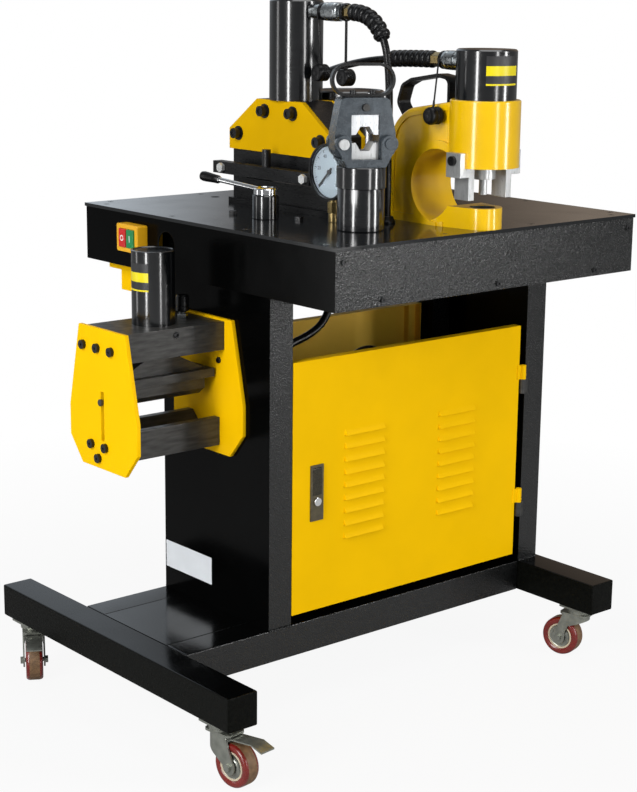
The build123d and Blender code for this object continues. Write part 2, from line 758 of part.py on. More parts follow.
for side in (-1, 1):
    seam = door_middle_z + side * HINGE_FROM_MIDDLE
    sleeve_z = (seam + FREE_GAP, seam + FREE_GAP + HINGE_KNUCKLE)
    leaf_x = (hinge_x - leaf_reach - HINGE_LEAF_LENGTH, hinge_x - leaf_reach)
    sleeve = upright(hinge_x, hinge_y, sleeve_z, HINGE_R) + block(leaf_x, leaf_y, sleeve_z)
    sleeves.append(sleeve - upright(hinge_x, hinge_y, sleeve_z, HINGE_PIN_R + RUNNING_FIT))
    knuckle_z = (seam - HINGE_KNUCKLE, seam)
    post_leaf_x = (hinge_x + leaf_reach, hinge_x + leaf_reach + HINGE_LEAF_LENGTH)
    knuckle = upright(hinge_x, hinge_y, knuckle_z, HINGE_R) + block(post_leaf_x, leaf_y, knuckle_z)
    hinge_pins.append(knuckle + upright(hinge_x, hinge_y, (seam, seam + HINGE_PIN_RISE), HINGE_PIN_R))
half_turn = Pos(2 * column_middle, 0, 0) * Rot(0, 0, 180)
save("hinge_pins", *hinge_pins, *[half_turn * pin for pin in hinge_pins])

# Rear door: the same leaf turned half round, with a stiffener at its lock side
stiffener_x = (door_left + STIFFENER_FROM_EDGE, door_left + STIFFENER_FROM_EDGE + STIFFENER_WIDTH)
stiffener_y = (column_front + DOOR_SHEET, column_front + DOOR_SHEET + STIFFENER_DEPTH)
stiffener = block(stiffener_x, stiffener_y, hollow_z)
stiffener -= block(
    (stiffener_x[0] + DOOR_SHEET, stiffener_x[1] - DOOR_SHEET),
    (stiffener_y[0], stiffener_y[1] - DOOR_SHEET),
    hollow_z,
)
save("rear_door", *[half_turn * piece for piece in (door + sleeves, stiffener)])

# Front door has a cut-out for the lock
lock_x = door_left + LOCK_FROM_EDGE
lock_z = door_middle_z - LOCK_DROP
lock_body_x = about(lock_x, LOCK_WIDTH - 2 * LOCK_LIP)
lock_body_z = about(lock_z, LOCK_HEIGHT - 2 * LOCK_LIP)
cut_x = (lock_body_x[0] - SCREW_FIT, lock_body_x[1] + SCREW_FIT)
cut_z = (lock_body_z[0] - SCREW_FIT, lock_body_z[1] + SCREW_FIT)
front_door = (door + sleeves) - block(cut_x, (column_front, column_front + DOOR_SHEET), cut_z)
save("front_door", front_door)

# Lock plate with a pocket for the lever and a bore for the button
plate_face = column_front - LOCK_FLANGE
lock = block(about(lock_x, LOCK_WIDTH), (plate_face, column_front), about(lock_z, LOCK_HEIGHT))
lock = lock + block(lock_body_x, (column_front, column_front + LOCK_BODY), lock_body_z)
lever_z = about(lock_z + LOCK_LEVER_RISE, LOCK_LEVER_HEIGHT)
lever_x = about(lock_x, LOCK_LEVER_WIDTH)
lever_y = (plate_face, plate_face + LOCK_LEVER_THICK)
pocket_x = (lever_x[0] - FREE_GAP, lever_x[1] + FREE_GAP)
pocket_z = (lever_z[0] - FREE_GAP, lever_z[1] + FREE_GAP)
lock -= block(pocket_x, (plate_face, lever_y[1] + LOCK_LEVER_ROOM), pocket_z)
lock_pin_z = lever_z[1] - LOCK_PIN_DROP
lock_pin_y = plate_face + LOCK_LEVER_THICK / 2
pin_reach = LOCK_WIDTH / 2 - LOCK_LIP - 2 * FREE_GAP
lock_pin_ends = [(lock_x - pin_reach, lock_pin_y, lock_pin_z), (lock_x + pin_reach, lock_pin_y, lock_pin_z)]
bore_reach = pin_reach + FREE_GAP
bore_ends = [(lock_x - bore_reach, lock_pin_y, lock_pin_z), (lock_x + bore_reach, lock_pin_y, lock_pin_z)]
lock -= rod(*bore_ends, LOCK_PIN_R + RUNNING_FIT)
button_z = lock_z - LOCK_BUTTON_DROP
button_front = plate_face - LOCK_BUTTON_PROUD
button_back = button_front + LOCK_BUTTON_LENGTH
bore_back = button_back + LOCK_BUTTON_STROKE + FREE_GAP
lock -= rod((lock_x, plate_face, button_z), (lock_x, bore_back, button_z), LOCK_BUTTON_R + FREE_GAP)
save("lock_plate", lock)
lock_lever = block(lever_x, lever_y, lever_z)
lock_lever = fillet(lock_lever.edges().filter_by(Axis.X).group_by(Axis.Z)[-1], LOCK_LEVER_ROUND)
save("lock_lever", lock_lever + rod(*lock_pin_ends, LOCK_PIN_R))
lock_button = rod((lock_x, button_front, button_z), (lock_x, button_back, button_z), LOCK_BUTTON_R)
save("lock_button", fillet(lock_button.edges().group_by(Axis.Y)[0], LOCK_BUTTON_PROUD / 3))

# Pump unit: oil tank, lid, motor, outlet block
tank_x = (column_right - TANK_FROM_RIGHT - TANK_LENGTH, column_right - TANK_FROM_RIGHT)
tank_y = about(0, TANK_DEPTH)
tank_z = (foot_top, foot_top + TANK_HEIGHT)
tank = block(tank_x, tank_y, tank_z)
tank -= block(
    (tank_x[0] + TANK_WALL, tank_x[1] - TANK_WALL),
    (tank_y[0] + TANK_WALL, tank_y[1] - TANK_WALL),
    (tank_z[0] + TANK_WALL, tank_z[1]),
)
lid_z = (tank_z[1], tank_z[1] + TANK_LID)
lid = block(tank_x, tank_y, lid_z)
motor_x = tank_x[1] - MOTOR_FROM_END
motor = upright(motor_x, 0, (lid_z[1], lid_z[1] + MOTOR_HEIGHT), MOTOR_R)
port_x = tank_x[0] + PORT_FROM_END
port_z = lid_z[1] + PORT_BLOCK_HEIGHT
outlet = block(about(port_x, PORT_BLOCK), about(0, PORT_BLOCK), (lid_z[1], port_z))
save("pump_unit", tank, lid, motor, outlet)

# Pressure hose from the pump outlet up to the underside of the table
table_port = (port_x - 168, -46, table_under)
pump_port = (port_x, 0, port_z)
cabinet_steps = [
    (0, 0, 52),
    (-6, -20, 105),
    (-35, -45, 155),
    (-85, -60, 184),
    (-136, -60, 176),
    (-183.5, -60, 121),
    (-241, -60, 72.5),
    (-286.5, -60, 69.5),
    (-325, -60, 93.5),
    (-342, -60, 135.5),
    (-331, -60, 180),
    (-296, -60, 209),
    (-222, -60, 228),
    (-192, -60, 258),
    (-180, -58, 305),
    (-172, -50, 360),
    (-168, -46, 396),
]
cabinet_points = route(pump_port, cabinet_steps, table_port)
cabinet_hose, cabinet_path = hose("cabinet_hose", cabinet_points, CABINET_HOSE_R)
save("cabinet_hose", cabinet_hose)

# Switch box on the left skirt with two keys
switch_z = table_under - SWITCH_DROP
switch_face = skirt_left - SWITCH_DEPTH
switch_y = about(SWITCH_FROM_MIDDLE, SWITCH_WIDTH)
switch = block((switch_face, skirt_left), switch_y, about(switch_z, SWITCH_HEIGHT))
switch = fillet(switch.edges().filter_by(Axis.X), SWITCH_CORNER)
keys = {}
for name, side in (("stop_button", 1), ("start_button", -1)):
    key_y = SWITCH_FROM_MIDDLE + side * KEY_PITCH / 2
    room_y = about(key_y, KEY_WIDTH + 2 * FREE_GAP)
    room_z = about(switch_z, KEY_HEIGHT + 2 * FREE_GAP)
    switch -= block((switch_face, switch_face + KEY_POCKET), room_y, room_z)
    key_x = (switch_face - KEY_PROUD, switch_face + KEY_POCKET - KEY_SEAT_GAP)
    key = block(key_x, about(key_y, KEY_WIDTH), about(switch_z, KEY_HEIGHT))
    keys[name] = fillet(key.edges().group_by(Axis.X)[0], KEY_PROUD / 3)
save("switch_box", switch)
for name, key in keys.items():
    save(name, key)

# Bender plates with the pointer slot in the near one
bender_far = column_left - BENDER_PLATE
bender_near = bender_far - BENDER_GAP
bender_middle = (bender_far + bender_near) / 2
plate_y = BENDER_AXIS_Y + BENDER_PLATE_SHIFT
right_side = [
    (BENDER_TOP_WIDTH / 2, BENDER_PLATE_TOP),
    (BENDER_SHOULDER_WIDTH / 2, BENDER_SHOULDER_TOP),
    (BENDER_SHOULDER_WIDTH / 2, BENDER_SHOULDER_BOTTOM),
    (BENDER_BOTTOM_WIDTH / 2, BENDER_PLATE_BOTTOM),
]
plate_outline = [(plate_y + half, z) for half, z in right_side]
plate_outline += [(plate_y - half, z) for half, z in reversed(right_side)]
slot_y = BENDER_AXIS_Y + BENDER_SLOT_SHIFT
wedge_bottom = BENDER_WEDGE_TOP - BENDER_WEDGE_HEIGHT
lip_bottom = wedge_bottom - BENDER_LIP_HEIGHT
pointer_z = lip_bottom - POINTER_DROP
slot_z = (pointer_z - BENDER_STROKE - BENDER_SLOT_BELOW, pointer_z + BENDER_SLOT_ABOVE)
near_x = (bender_near - BENDER_PLATE, bender_near)
far_x = (bender_far, column_left)
near_plate = outline_x(plate_outline, near_x)
near_plate -= block(near_x, about(slot_y, BENDER_SLOT_WIDTH), slot_z)
save("bender_plates", near_plate, outline_x(plate_outline, far_x))
plate_screw_y = plate_y + PLATE_SCREW_SHIFT
plate_screws = [
    (plate_screw_y + PLATE_SCREW_PITCH, BENDER_PLATE_TOP - PLATE_SCREW_DROP),
    (plate_screw_y, BENDER_PLATE_TOP - PLATE_SCREW_DROP),
    (plate_screw_y - PLATE_SCREW_PITCH, BENDER_PLATE_TOP - PLATE_SCREW_DROP),
    (plate_screw_y + PLATE_SCREW_PITCH / 2, BENDER_PLATE_BOTTOM + PLATE_SCREW_RISE),
    (plate_screw_y - PLATE_SCREW_PITCH / 2, BENDER_PLATE_BOTTOM + PLATE_SCREW_RISE),
    (plate_screw_y, BENDER_PLATE_BOTTOM + PLATE_SCREW_TIP_RISE),
]
for y, z in plate_screws:
    screws.append(socket_screw((near_x[0], y, z), (near_x[0] - CAP_SCREW_HEIGHT, y, z), CAP_SCREW_R))

# Bender top block, cylinder, ram and die
gap_x = (bender_near, bender_far)
block_bottom = BENDER_BLOCK_TOP - BENDER_BLOCK_HEIGHT
bender_block = block(gap_x, about(BENDER_AXIS_Y, BENDER_BLOCK_DEPTH), (block_bottom, BENDER_BLOCK_TOP))
ram_bore = BENDER_ROD_R + RUNNING_FIT
bender_block -= upright(bender_middle, BENDER_AXIS_Y, (block_bottom, BENDER_BLOCK_TOP), ram_bore)
save("bender_block", bender_block)
cylinder_top = BENDER_BLOCK_TOP + BENDER_CYLINDER_HEIGHT
bender_cylinder = upright(bender_middle, BENDER_AXIS_Y, (BENDER_BLOCK_TOP, cylinder_top), BENDER_CYLINDER_R)
lip_z = (cylinder_top - 2 * BENDER_CYLINDER_LIP, cylinder_top)
bender_cylinder += upright(bender_middle, BENDER_AXIS_Y, lip_z, BENDER_CYLINDER_R + BENDER_CYLINDER_LIP)
bender_cylinder -= upright(
    bender_middle,
    BENDER_AXIS_Y,
    (BENDER_BLOCK_TOP, cylinder_top - BENDER_CYLINDER_END),
    BENDER_CYLINDER_BORE_R,
)
save("bender_cylinder", bender_cylinder)
bar_bottom = lip_bottom - BENDER_BAR_HEIGHT
lip_half = BENDER_GAP / 2 - BENDER_LIP_END_GAP
wedge_outline = [
    (bender_middle - BENDER_WEDGE_WIDTH / 2, BENDER_WEDGE_TOP),
    (bender_middle + BENDER_WEDGE_WIDTH / 2, BENDER_WEDGE_TOP),
    (bender_middle + BENDER_BAR_LENGTH / 2, wedge_bottom),
    (bender_middle - BENDER_BAR_LENGTH / 2, wedge_bottom),
]
ram = outline_y(wedge_outline, about(BENDER_AXIS_Y, BENDER_BAR_DEPTH))
lip_x = (bender_middle - lip_half, bender_middle + lip_half)
ram += block(lip_x, about(BENDER_AXIS_Y, BENDER_LIP_DEPTH), (lip_bottom, wedge_bottom))
bar_half = BENDER_BAR_DEPTH / 2
nose_half = BENDER_NOSE_DEPTH / 2
nose_top = bar_bottom + BENDER_NOSE_HEIGHT
bar_outline = [
    (BENDER_AXIS_Y - bar_half, lip_bottom),
    (BENDER_AXIS_Y - bar_half, nose_top),
    (BENDER_AXIS_Y - nose_half, bar_bottom),
    (BENDER_AXIS_Y + nose_half, bar_bottom),
    (BENDER_AXIS_Y + bar_half, nose_top),
    (BENDER_AXIS_Y + bar_half, lip_bottom),
]
bar_x = about(bender_middle, BENDER_BAR_LENGTH)
ram += outline_x(bar_outline, bar_x)
rod_top = BENDER_BLOCK_TOP + BENDER_ROD_ABOVE
ram += upright(bender_middle, BENDER_AXIS_Y, (BENDER_WEDGE_TOP, rod_top), BENDER_ROD_R)
head_x = near_x[0] - FREE_GAP
ram += rod((bar_x[0], slot_y, pointer_z), (head_x, slot_y, pointer_z), POINTER_R)
ram += rod((head_x, slot_y, pointer_z), (head_x - POINTER_HEAD, slot_y, pointer_z), POINTER_HEAD_R)
save("bender_ram", ram)
die_bottom = BENDER_DIE_TOP - BENDER_DIE_HEIGHT
bender_die = block(gap_x, about(BENDER_AXIS_Y, BENDER_DIE_DEPTH), (die_bottom, BENDER_DIE_TOP))
v_outline = [
    (BENDER_AXIS_Y - BENDER_V_WIDTH / 2, BENDER_DIE_TOP),
    (BENDER_AXIS_Y, BENDER_DIE_TOP - BENDER_V_DEPTH),
    (BENDER_AXIS_Y + BENDER_V_WIDTH / 2, BENDER_DIE_TOP),
]
save("bender_die", bender_die - outline_x(v_outline, gap_x))

# Cutter body with a busbar window along X, and the head above it, with a slot for the blade
cutter_half = CUTTER_LENGTH / 2
body_x = about(cutter_x, CUTTER_BODY_WIDTH)
base_z = TABLE_HEIGHT + CUTTER_BASE_HEIGHT
shoulder_z = TABLE_HEIGHT + CUTTER_SHOULDER_HEIGHT
cutter_top = TABLE_HEIGHT + CUTTER_TOP_HEIGHT
top_half = CUTTER_TOP_LENGTH / 2
sill_z = TABLE_HEIGHT + CUTTER_WINDOW_SILL
window_z = (sill_z, sill_z + CUTTER_WINDOW_HEIGHT)


def cutter_outline(bottom):
    """Sloping shoulders of the cutter above the given height."""
    return [
        (cutter_y + top_half, cutter_top),
        (cutter_y + cutter_half, shoulder_z),
        (cutter_y + cutter_half, bottom),
        (cutter_y - cutter_half, bottom),
        (cutter_y - cutter_half, shoulder_z),
        (cutter_y - top_half, cutter_top),
    ]


cutter_span = about(cutter_y, CUTTER_LENGTH)
body = block(body_x, cutter_span, (TABLE_HEIGHT, window_z[1]))
flange_x = about(cutter_x, CUTTER_BODY_WIDTH + 2 * CUTTER_FLANGE)
body += block(flange_x, cutter_span, (TABLE_HEIGHT, TABLE_HEIGHT + CUTTER_FLANGE_HEIGHT))
body -= block(body_x, about(cutter_y, CUTTER_WINDOW_LENGTH), window_z)
cutter_head = outline_x(cutter_outline(window_z[1]), body_x)
blade_bottom = window_z[1]
cutter_stroke = CUTTER_WINDOW_HEIGHT + CUTTER_BLADE_BITE
blade_top = blade_bottom + CUTTER_BLADE_HEIGHT
slot_x = about(cutter_x, CUTTER_BLADE_THICK + 2 * FREE_GAP)
blade_half = CUTTER_BLADE_LENGTH / 2
blade_shoulder = top_half - FREE_GAP
blade_corner = blade_bottom + CUTTER_BLADE_RAKE
slot_half = blade_half + 2 * FREE_GAP
slot_shoulder = blade_shoulder + 2 * FREE_GAP
slot_bottom = sill_z - CUTTER_BLADE_BITE - FREE_GAP
slot_top = blade_top + FREE_GAP
slot_outline = [
    (cutter_y - slot_half, slot_bottom),
    (cutter_y - slot_half, blade_corner),
    (cutter_y - slot_shoulder, slot_top),
    (cutter_y + slot_shoulder, slot_top),
    (cutter_y + slot_half, blade_corner),
    (cutter_y + slot_half, slot_bottom),
]
blade_slot = outline_x(slot_outline, slot_x)
body -= blade_slot
lower_z = (sill_z - CUTTER_LOWER_BLADE_HEIGHT, sill_z)
lower_x = (body_x[0], slot_x[0])
lower_span = about(cutter_y, CUTTER_LOWER_BLADE_LENGTH)
body -= block(lower_x, lower_span, lower_z)
rod_bore_z = (blade_top - cutter_stroke - FREE_GAP, cutter_top)
cutter_head -= blade_slot
cutter_head -= upright(cutter_x, cutter_y, rod_bore_z, CUTTER_ROD_R + RUNNING_FIT)
save("cutter_body", body)
save("cutter_head", cutter_head)
near_plate_x = (body_x[0] - CUTTER_PLATE, body_x[0])
far_plate_x = (body_x[1], body_x[1] + CUTTER_PLATE)
cutter_plate_face = cutter_outline(base_z)
save("cutter_plates", outline_x(cutter_plate_face, near_plate_x), outline_x(cutter_plate_face, far_plate_x))
for face, out in ((near_plate_x[0], -1), (far_plate_x[1], 1)):
    for side in (-1, 1):
        high = (face, cutter_y + side * CUTTER_SCREW_NEAR, cutter_top - CUTTER_SCREW_DROP)
        low = (face, cutter_y + side * CUTTER_SCREW_FAR, base_z + CUTTER_SCREW_LOW)
        for x, y, z in (high, low):
            seat = x + out * CUTTER_WASHER
            screw_end = (seat + out * CUTTER_SCREW_HEIGHT, y, z)
            head = socket_screw((seat, y, z), screw_end, CUTTER_SCREW_R, CUTTER_SOCKET_R)
            screws.append(rod((x, y, z), (seat, y, z), CUTTER_WASHER_R) + head)

# Cutter cylinder and blade
cutter_cylinder_top = cutter_top + CUTTER_CYLINDER_HEIGHT
cutter_cylinder = upright(cutter_x, cutter_y, (cutter_top, cutter_cylinder_top), CUTTER_CYLINDER_R)
bore_top = cutter_cylinder_top - CUTTER_CYLINDER_END - 2 * COUPLER_R
cutter_cylinder -= upright(cutter_x, cutter_y, (cutter_top, bore_top), CUTTER_CYLINDER_BORE_R)
save("cutter_cylinder", cutter_cylinder)
blade_outline = [
    (cutter_y - blade_half, blade_corner),
    (cutter_y - blade_shoulder, blade_top),
    (cutter_y + blade_shoulder, blade_top),
    (cutter_y + blade_half, blade_corner),
    (cutter_y, blade_bottom),
]
blade = outline_x(blade_outline, about(cutter_x, CUTTER_BLADE_THICK))
blade += upright(cutter_x, cutter_y, (blade_top, blade_top + CUTTER_ROD_ABOVE), CUTTER_ROD_R)
save("cutter_blade", blade)

# Cutter rail in front of the window, held off by two bolts, and the lower blade
rail_far = body_x[0] - RAIL_STANDOFF
rail_span_x = (rail_far - RAIL_WIDTH, rail_far)
rail_bottom = TABLE_HEIGHT + RAIL_BOTTOM
rail_z = (rail_bottom, rail_bottom + RAIL_HEIGHT)
cutter_rail = block(rail_span_x, (cutter_span[0] + RAIL_RIGHT_CUT, cutter_span[1]), rail_z)
bolt_z = rail_bottom + RAIL_HEIGHT / 2
for side in (-1, 1):
    bolt_y = cutter_y + side * RAIL_BOLT_SPAN / 2
    bolt_start = (body_x[0], bolt_y, bolt_z)
    bolt_face = (rail_span_x[0], bolt_y, bolt_z)
    cutter_rail -= rod(bolt_start, bolt_face, RAIL_BOLT_R + SCREW_FIT)
    bolt_end = (rail_span_x[0] - RAIL_BOLT_HEAD, bolt_y, bolt_z)
    bolt_head = hexagon_rod(bolt_face, bolt_end, RAIL_BOLT_HEAD_R)
    screws.append(rod(bolt_start, bolt_face, RAIL_BOLT_R) + bolt_head)
stop_start = (rail_far - RAIL_WIDTH / 2, cutter_y, rail_z[1])
stop_end = (stop_start[0], cutter_y, rail_z[1] + RAIL_STOP_HEIGHT)
screws.append(socket_screw(stop_start, stop_end, RAIL_STOP_R))
save("cutter_rail", cutter_rail, block(lower_x, lower_span, lower_z))

# Punch frame: C-plate with rounded edges, sunk sides and a round throat, head and anvil
frame_x = about(punch_x, PUNCH_FRAME_WIDTH)
frame_points = [
    (punch_y + PUNCH_BACK, TABLE_HEIGHT),
    (punch_y + PUNCH_BACK, TABLE_HEIGHT + PUNCH_BACK_HEIGHT),
    (punch_y + PUNCH_SHOULDER_BACK, TABLE_HEIGHT + PUNCH_SHOULDER_HEIGHT),
    (punch_y + PUNCH_CREST_BACK, TABLE_HEIGHT + PUNCH_CREST_HEIGHT),
    (punch_y + PUNCH_ARM_BACK, TABLE_HEIGHT + PUNCH_ARM_HEIGHT),
    (punch_y, TABLE_HEIGHT + PUNCH_ARM_HEIGHT),
]
frame_line = FilletPolyline(*frame_points, radius=PUNCH_BACK_BEND)
frame_ends = Polyline(frame_line @ 1, (punch_y, TABLE_HEIGHT), frame_line @ 0)
frame_face = make_face(frame_line.edges() + frame_ends.edges())
sunk_face = offset(frame_face, amount=-PUNCH_BORDER, kind=Kind.INTERSECTION)
plain_frame = extrude(Plane.YZ.offset(frame_x[0]) * frame_face, PUNCH_FRAME_WIDTH, dir=(1, 0, 0))
outer_edges = []
for edge in plain_frame.faces().filter_by(Axis.X).edges():
    if edge.center().Z > TABLE_HEIGHT + PUNCH_EDGE and edge.center().Y > punch_y + PUNCH_EDGE:
        outer_edges.append(edge)
punch_frame = fillet(outer_edges, PUNCH_EDGE)
for x in (frame_x[0], frame_x[1] - PUNCH_RECESS):
    punch_frame -= extrude(Plane.YZ.offset(x) * sunk_face, PUNCH_RECESS, dir=(1, 0, 0))
throat_y = punch_y + PUNCH_THROAT_BACK
throat_z = TABLE_HEIGHT + PUNCH_THROAT_HEIGHT
rim_x = (frame_x[0] - PUNCH_RIM_PROUD, frame_x[1] + PUNCH_RIM_PROUD)
throat_ends = [(x, throat_y, throat_z) for x in rim_x]
punch_frame += rod(*throat_ends, PUNCH_THROAT_R + PUNCH_RIM)
anvil_top = TABLE_HEIGHT + PUNCH_ANVIL_HEIGHT
head_bottom = TABLE_HEIGHT + PUNCH_HEAD_BOTTOM
head_top = TABLE_HEIGHT + PUNCH_HEAD_TOP
punch_frame -= rod(*throat_ends, PUNCH_THROAT_R)
mouth_y = (punch_y - PUNCH_HEAD_R, throat_y)
punch_frame -= block(rim_x, mouth_y, (TABLE_HEIGHT - PUNCH_RIM, head_bottom))
below_z = (TABLE_HEIGHT - 2 * PUNCH_RIM, TABLE_HEIGHT)
punch_frame -= block(rim_x, about(throat_y, 4 * PUNCH_THROAT_R), below_z)
floor_z = (TABLE_HEIGHT, TABLE_HEIGHT + PUNCH_THROAT_FLOOR)
punch_frame += block(frame_x, (throat_y - PUNCH_RIM, punch_y + PUNCH_BACK), floor_z)
arm_outline = [
    (punch_x - PUNCH_ANVIL_R, punch_y),
    (punch_x + PUNCH_ANVIL_R, punch_y),
    (frame_x[1], throat_y),
    (frame_x[1], throat_y + PUNCH_LAND_BACK),
    (frame_x[0], throat_y + PUNCH_LAND_BACK),
    (frame_x[0], throat_y),
]
arm_face = Plane.XY.offset(TABLE_HEIGHT) * make_face(Polyline(*arm_outline, close=True))
arm = extrude(arm_face, PUNCH_ANVIL_HEIGHT, dir=(0, 0, 1))
land_ends = [(x, throat_y + PUNCH_LAND_BACK, throat_z) for x in rim_x]
punch_frame += arm - rod(*land_ends, PUNCH_THROAT_R)
punch_frame += upright(punch_x, punch_y, (TABLE_HEIGHT, anvil_top), PUNCH_ANVIL_R)
punch_head = upright(punch_x, punch_y, (head_bottom, head_top), PUNCH_HEAD_R)
punch_frame += fillet(punch_head.edges().group_by(Axis.Z)[-1], PUNCH_HEAD_EDGE)
boss_x = about(punch_x, 2 * (PUNCH_HEAD_R + PUNCH_BOSS_PROUD))
boss_z = (head_bottom, TABLE_HEIGHT + PUNCH_BOSS_BOTTOM + PUNCH_BOSS_HEIGHT)
punch_frame += block(boss_x, about(punch_y, PUNCH_BOSS_WIDTH), boss_z)
punch_frame -= upright(punch_x, punch_y, (TABLE_HEIGHT, anvil_top), PUNCH_DIE_R)
punch_frame -= upright(punch_x, punch_y, (head_bottom, head_top), PUNCH_ROD_R + RUNNING_FIT)
save("punch_frame", punch_frame)

# Punch cylinder, ram and stripper legs
punch_cylinder_top = head_top + PUNCH_CYLINDER_HEIGHT
punch_cylinder = upright(punch_x, punch_y, (head_top, punch_cylinder_top), PUNCH_CYLINDER_R)
punch_bore_top = punch_cylinder_top - PUNCH_CYLINDER_END - PUNCH_PORT_DROP
punch_cylinder -= upright(punch_x, punch_y, (head_top, punch_bore_top), PUNCH_CYLINDER_BORE_R)
save("punch_cylinder", punch_cylinder)
ram_bottom = head_bottom - PUNCH_ROD_PROUD
punch_ram = upright(punch_x, punch_y, (ram_bottom, head_top + PUNCH_ROD_ABOVE), PUNCH_ROD_R)
punch_ram += upright(punch_x, punch_y, (ram_bottom - PUNCH_TIP_LENGTH, ram_bottom), PUNCH_TIP_R)
save("punch_ram", punch_ram)
leg_y = about(punch_y, STRIPPER_DEPTH)
leg_z = (head_bottom - STRIPPER_LEG_LENGTH, head_bottom)
bridge_z = (head_bottom - STRIPPER_BRIDGE, head_bottom)
cheek_z = (bridge_z[0], head_bottom + STRIPPER_CHEEK_HEIGHT)
legs = []
for side in (-1, 1):
    leg_inner = punch_x + side * (STRIPPER_SPREAD - STRIPPER_LEG)
    leg_outer = punch_x + side * STRIPPER_SPREAD
    cheek_inner = punch_x + side * (PUNCH_HEAD_R + PUNCH_BOSS_PROUD)
    cheek_outer = cheek_inner + side * STRIPPER_CHEEK
    leg = block(sorted((leg_inner, leg_outer)), leg_y, leg_z)
    leg += block(sorted((leg_inner, cheek_outer)), leg_y, bridge_z)
    leg += block(sorted((cheek_inner, cheek_outer)), leg_y, cheek_z)
    legs.append(leg)
    cheek_screw = (cheek_outer, punch_y, head_bottom + STRIPPER_CHEEK_HEIGHT / 2)
    cheek_screw_end = (cheek_outer + side * CAP_SCREW_HEIGHT, cheek_screw[1], cheek_screw[2])
    screws.append(socket_screw(cheek_screw, cheek_screw_end, CAP_SCREW_R))
save("stripper_legs", *legs)

# Strap handle over the punch frame, cut to sit on it
arm_top = TABLE_HEIGHT + PUNCH_ARM_HEIGHT
shoulder_y = punch_y + PUNCH_SHOULDER_BACK
strap_front_y = punch_y + PUNCH_ARM_BACK + STRAP_FRONT
strap_line = [
    (punch_x, shoulder_y - STRAP_SINK, TABLE_HEIGHT + PUNCH_SHOULDER_HEIGHT - STRAP_SINK),
    (punch_x, shoulder_y + STRAP_REACH, arm_top - STRAP_SINK),
    (punch_x, shoulder_y + STRAP_REACH / 2, arm_top + STRAP_RISE / 2),
    (punch_x, shoulder_y - STRAP_REACH / 2, arm_top + 3 * STRAP_RISE / 4),
    (punch_x, strap_front_y + STRAP_CROWN, arm_top + STRAP_RISE),
    (punch_x, strap_front_y, arm_top + STRAP_RISE - STRAP_DIP),
    (punch_x, strap_front_y, arm_top - 2 * STRAP_SINK),
]
strap_path = FilletPolyline(*strap_line, radius=STRAP_BEND)
strap_plane = Plane(origin=strap_path @ 0, x_dir=(1, 0, 0), z_dir=strap_path % 0)
strap = sweep(strap_plane * Rectangle(STRAP_WIDTH, STRAP_THICK), strap_path)
save("punch_handle", strap - plain_frame)

# Crimper, modelled facing -Y and turned to its place
crimper_place = Pos(crimper_x, crimper_y, TABLE_HEIGHT) * Rot(0, 0, CRIMPER_TURN)
collar_top = CRIMPER_BODY_HEIGHT + CRIMPER_COLLAR_HEIGHT
crimper = upright(0, 0, (0, CRIMPER_BODY_HEIGHT), CRIMPER_R)
crimper += upright(0, 0, (CRIMPER_BODY_HEIGHT, collar_top), CRIMPER_COLLAR_R)
crimper -= upright(0, 0, (CRIMPER_BORE_FLOOR, collar_top), CRIMPER_ROD_R + RUNNING_FIT)
save("crimper_cylinder", crimper_place * crimper)
base_top = collar_top + CRIMPER_BASE_HEIGHT
lug_inner = YOKE_THICK / 2 + FREE_GAP
lug_outer = lug_inner + CRIMPER_LUG_THICK
pin_x = CRIMPER_PIN_SPREAD / 2
pin_z = collar_top + CRIMPER_PIN_RISE
base_x = about(0, CRIMPER_PIN_SPREAD + CRIMPER_LUG_WIDTH)
base_y = (-lug_outer, lug_outer)
base_outline = [
    (base_x[0], pin_z),
    (-CRIMPER_BASE_FOOT / 2, collar_top),
    (CRIMPER_BASE_FOOT / 2, collar_top),
    (base_x[1], pin_z),
]
base_form = outline_y(base_outline, base_y)
crimper_base = block(base_x, base_y, (collar_top, base_top)) & base_form
pin_bore = CRIMPER_PIN_R + RUNNING_FIT
pin_holes = []
for side in (-1, 1):
    for face in (-1, 1):
        lug_y = sorted((face * lug_inner, face * lug_outer))
        lug_x = about(side * pin_x, CRIMPER_LUG_WIDTH)
        crimper_base += block(lug_x, lug_y, (base_top, pin_z)) & base_form
        lug_ends = [(side * pin_x, y, pin_z) for y in lug_y]
        crimper_base += rod(*lug_ends, CRIMPER_LUG_WIDTH / 2)
    pin_holes.append(rod((side * pin_x, -lug_outer, pin_z), (side * pin_x, lug_outer, pin_z), pin_bore))
crimper_base -= pin_holes
crimper_base -= upright(0, 0, (collar_top, base_top), CRIMPER_ROD_R + RUNNING_FIT)
pivot_ends = [(pin_x, -lug_outer, pin_z), (pin_x, lug_outer, pin_z)]
pivot_head = (pin_x, -lug_outer - CRIMPER_PIN_HEAD / 2, pin_z)
pivot = rod(*pivot_ends, CRIMPER_PIN_R) + rod(pivot_head, pivot_ends[0], CRIMPER_PIN_HEAD_R)
save("crimper_base", crimper_place * crimper_base, crimper_place * pivot)
latch_ends = [(-pin_x, -lug_outer, pin_z), (-pin_x, lug_outer, pin_z)]
latch_head = (-pin_x, -lug_outer - CRIMPER_PIN_HEAD, pin_z)
latch = rod(*latch_ends, CRIMPER_PIN_R) + rod(latch_head, latch_ends[0], CRIMPER_PIN_HEAD_R)
save("latch_pin", crimper_place * latch)

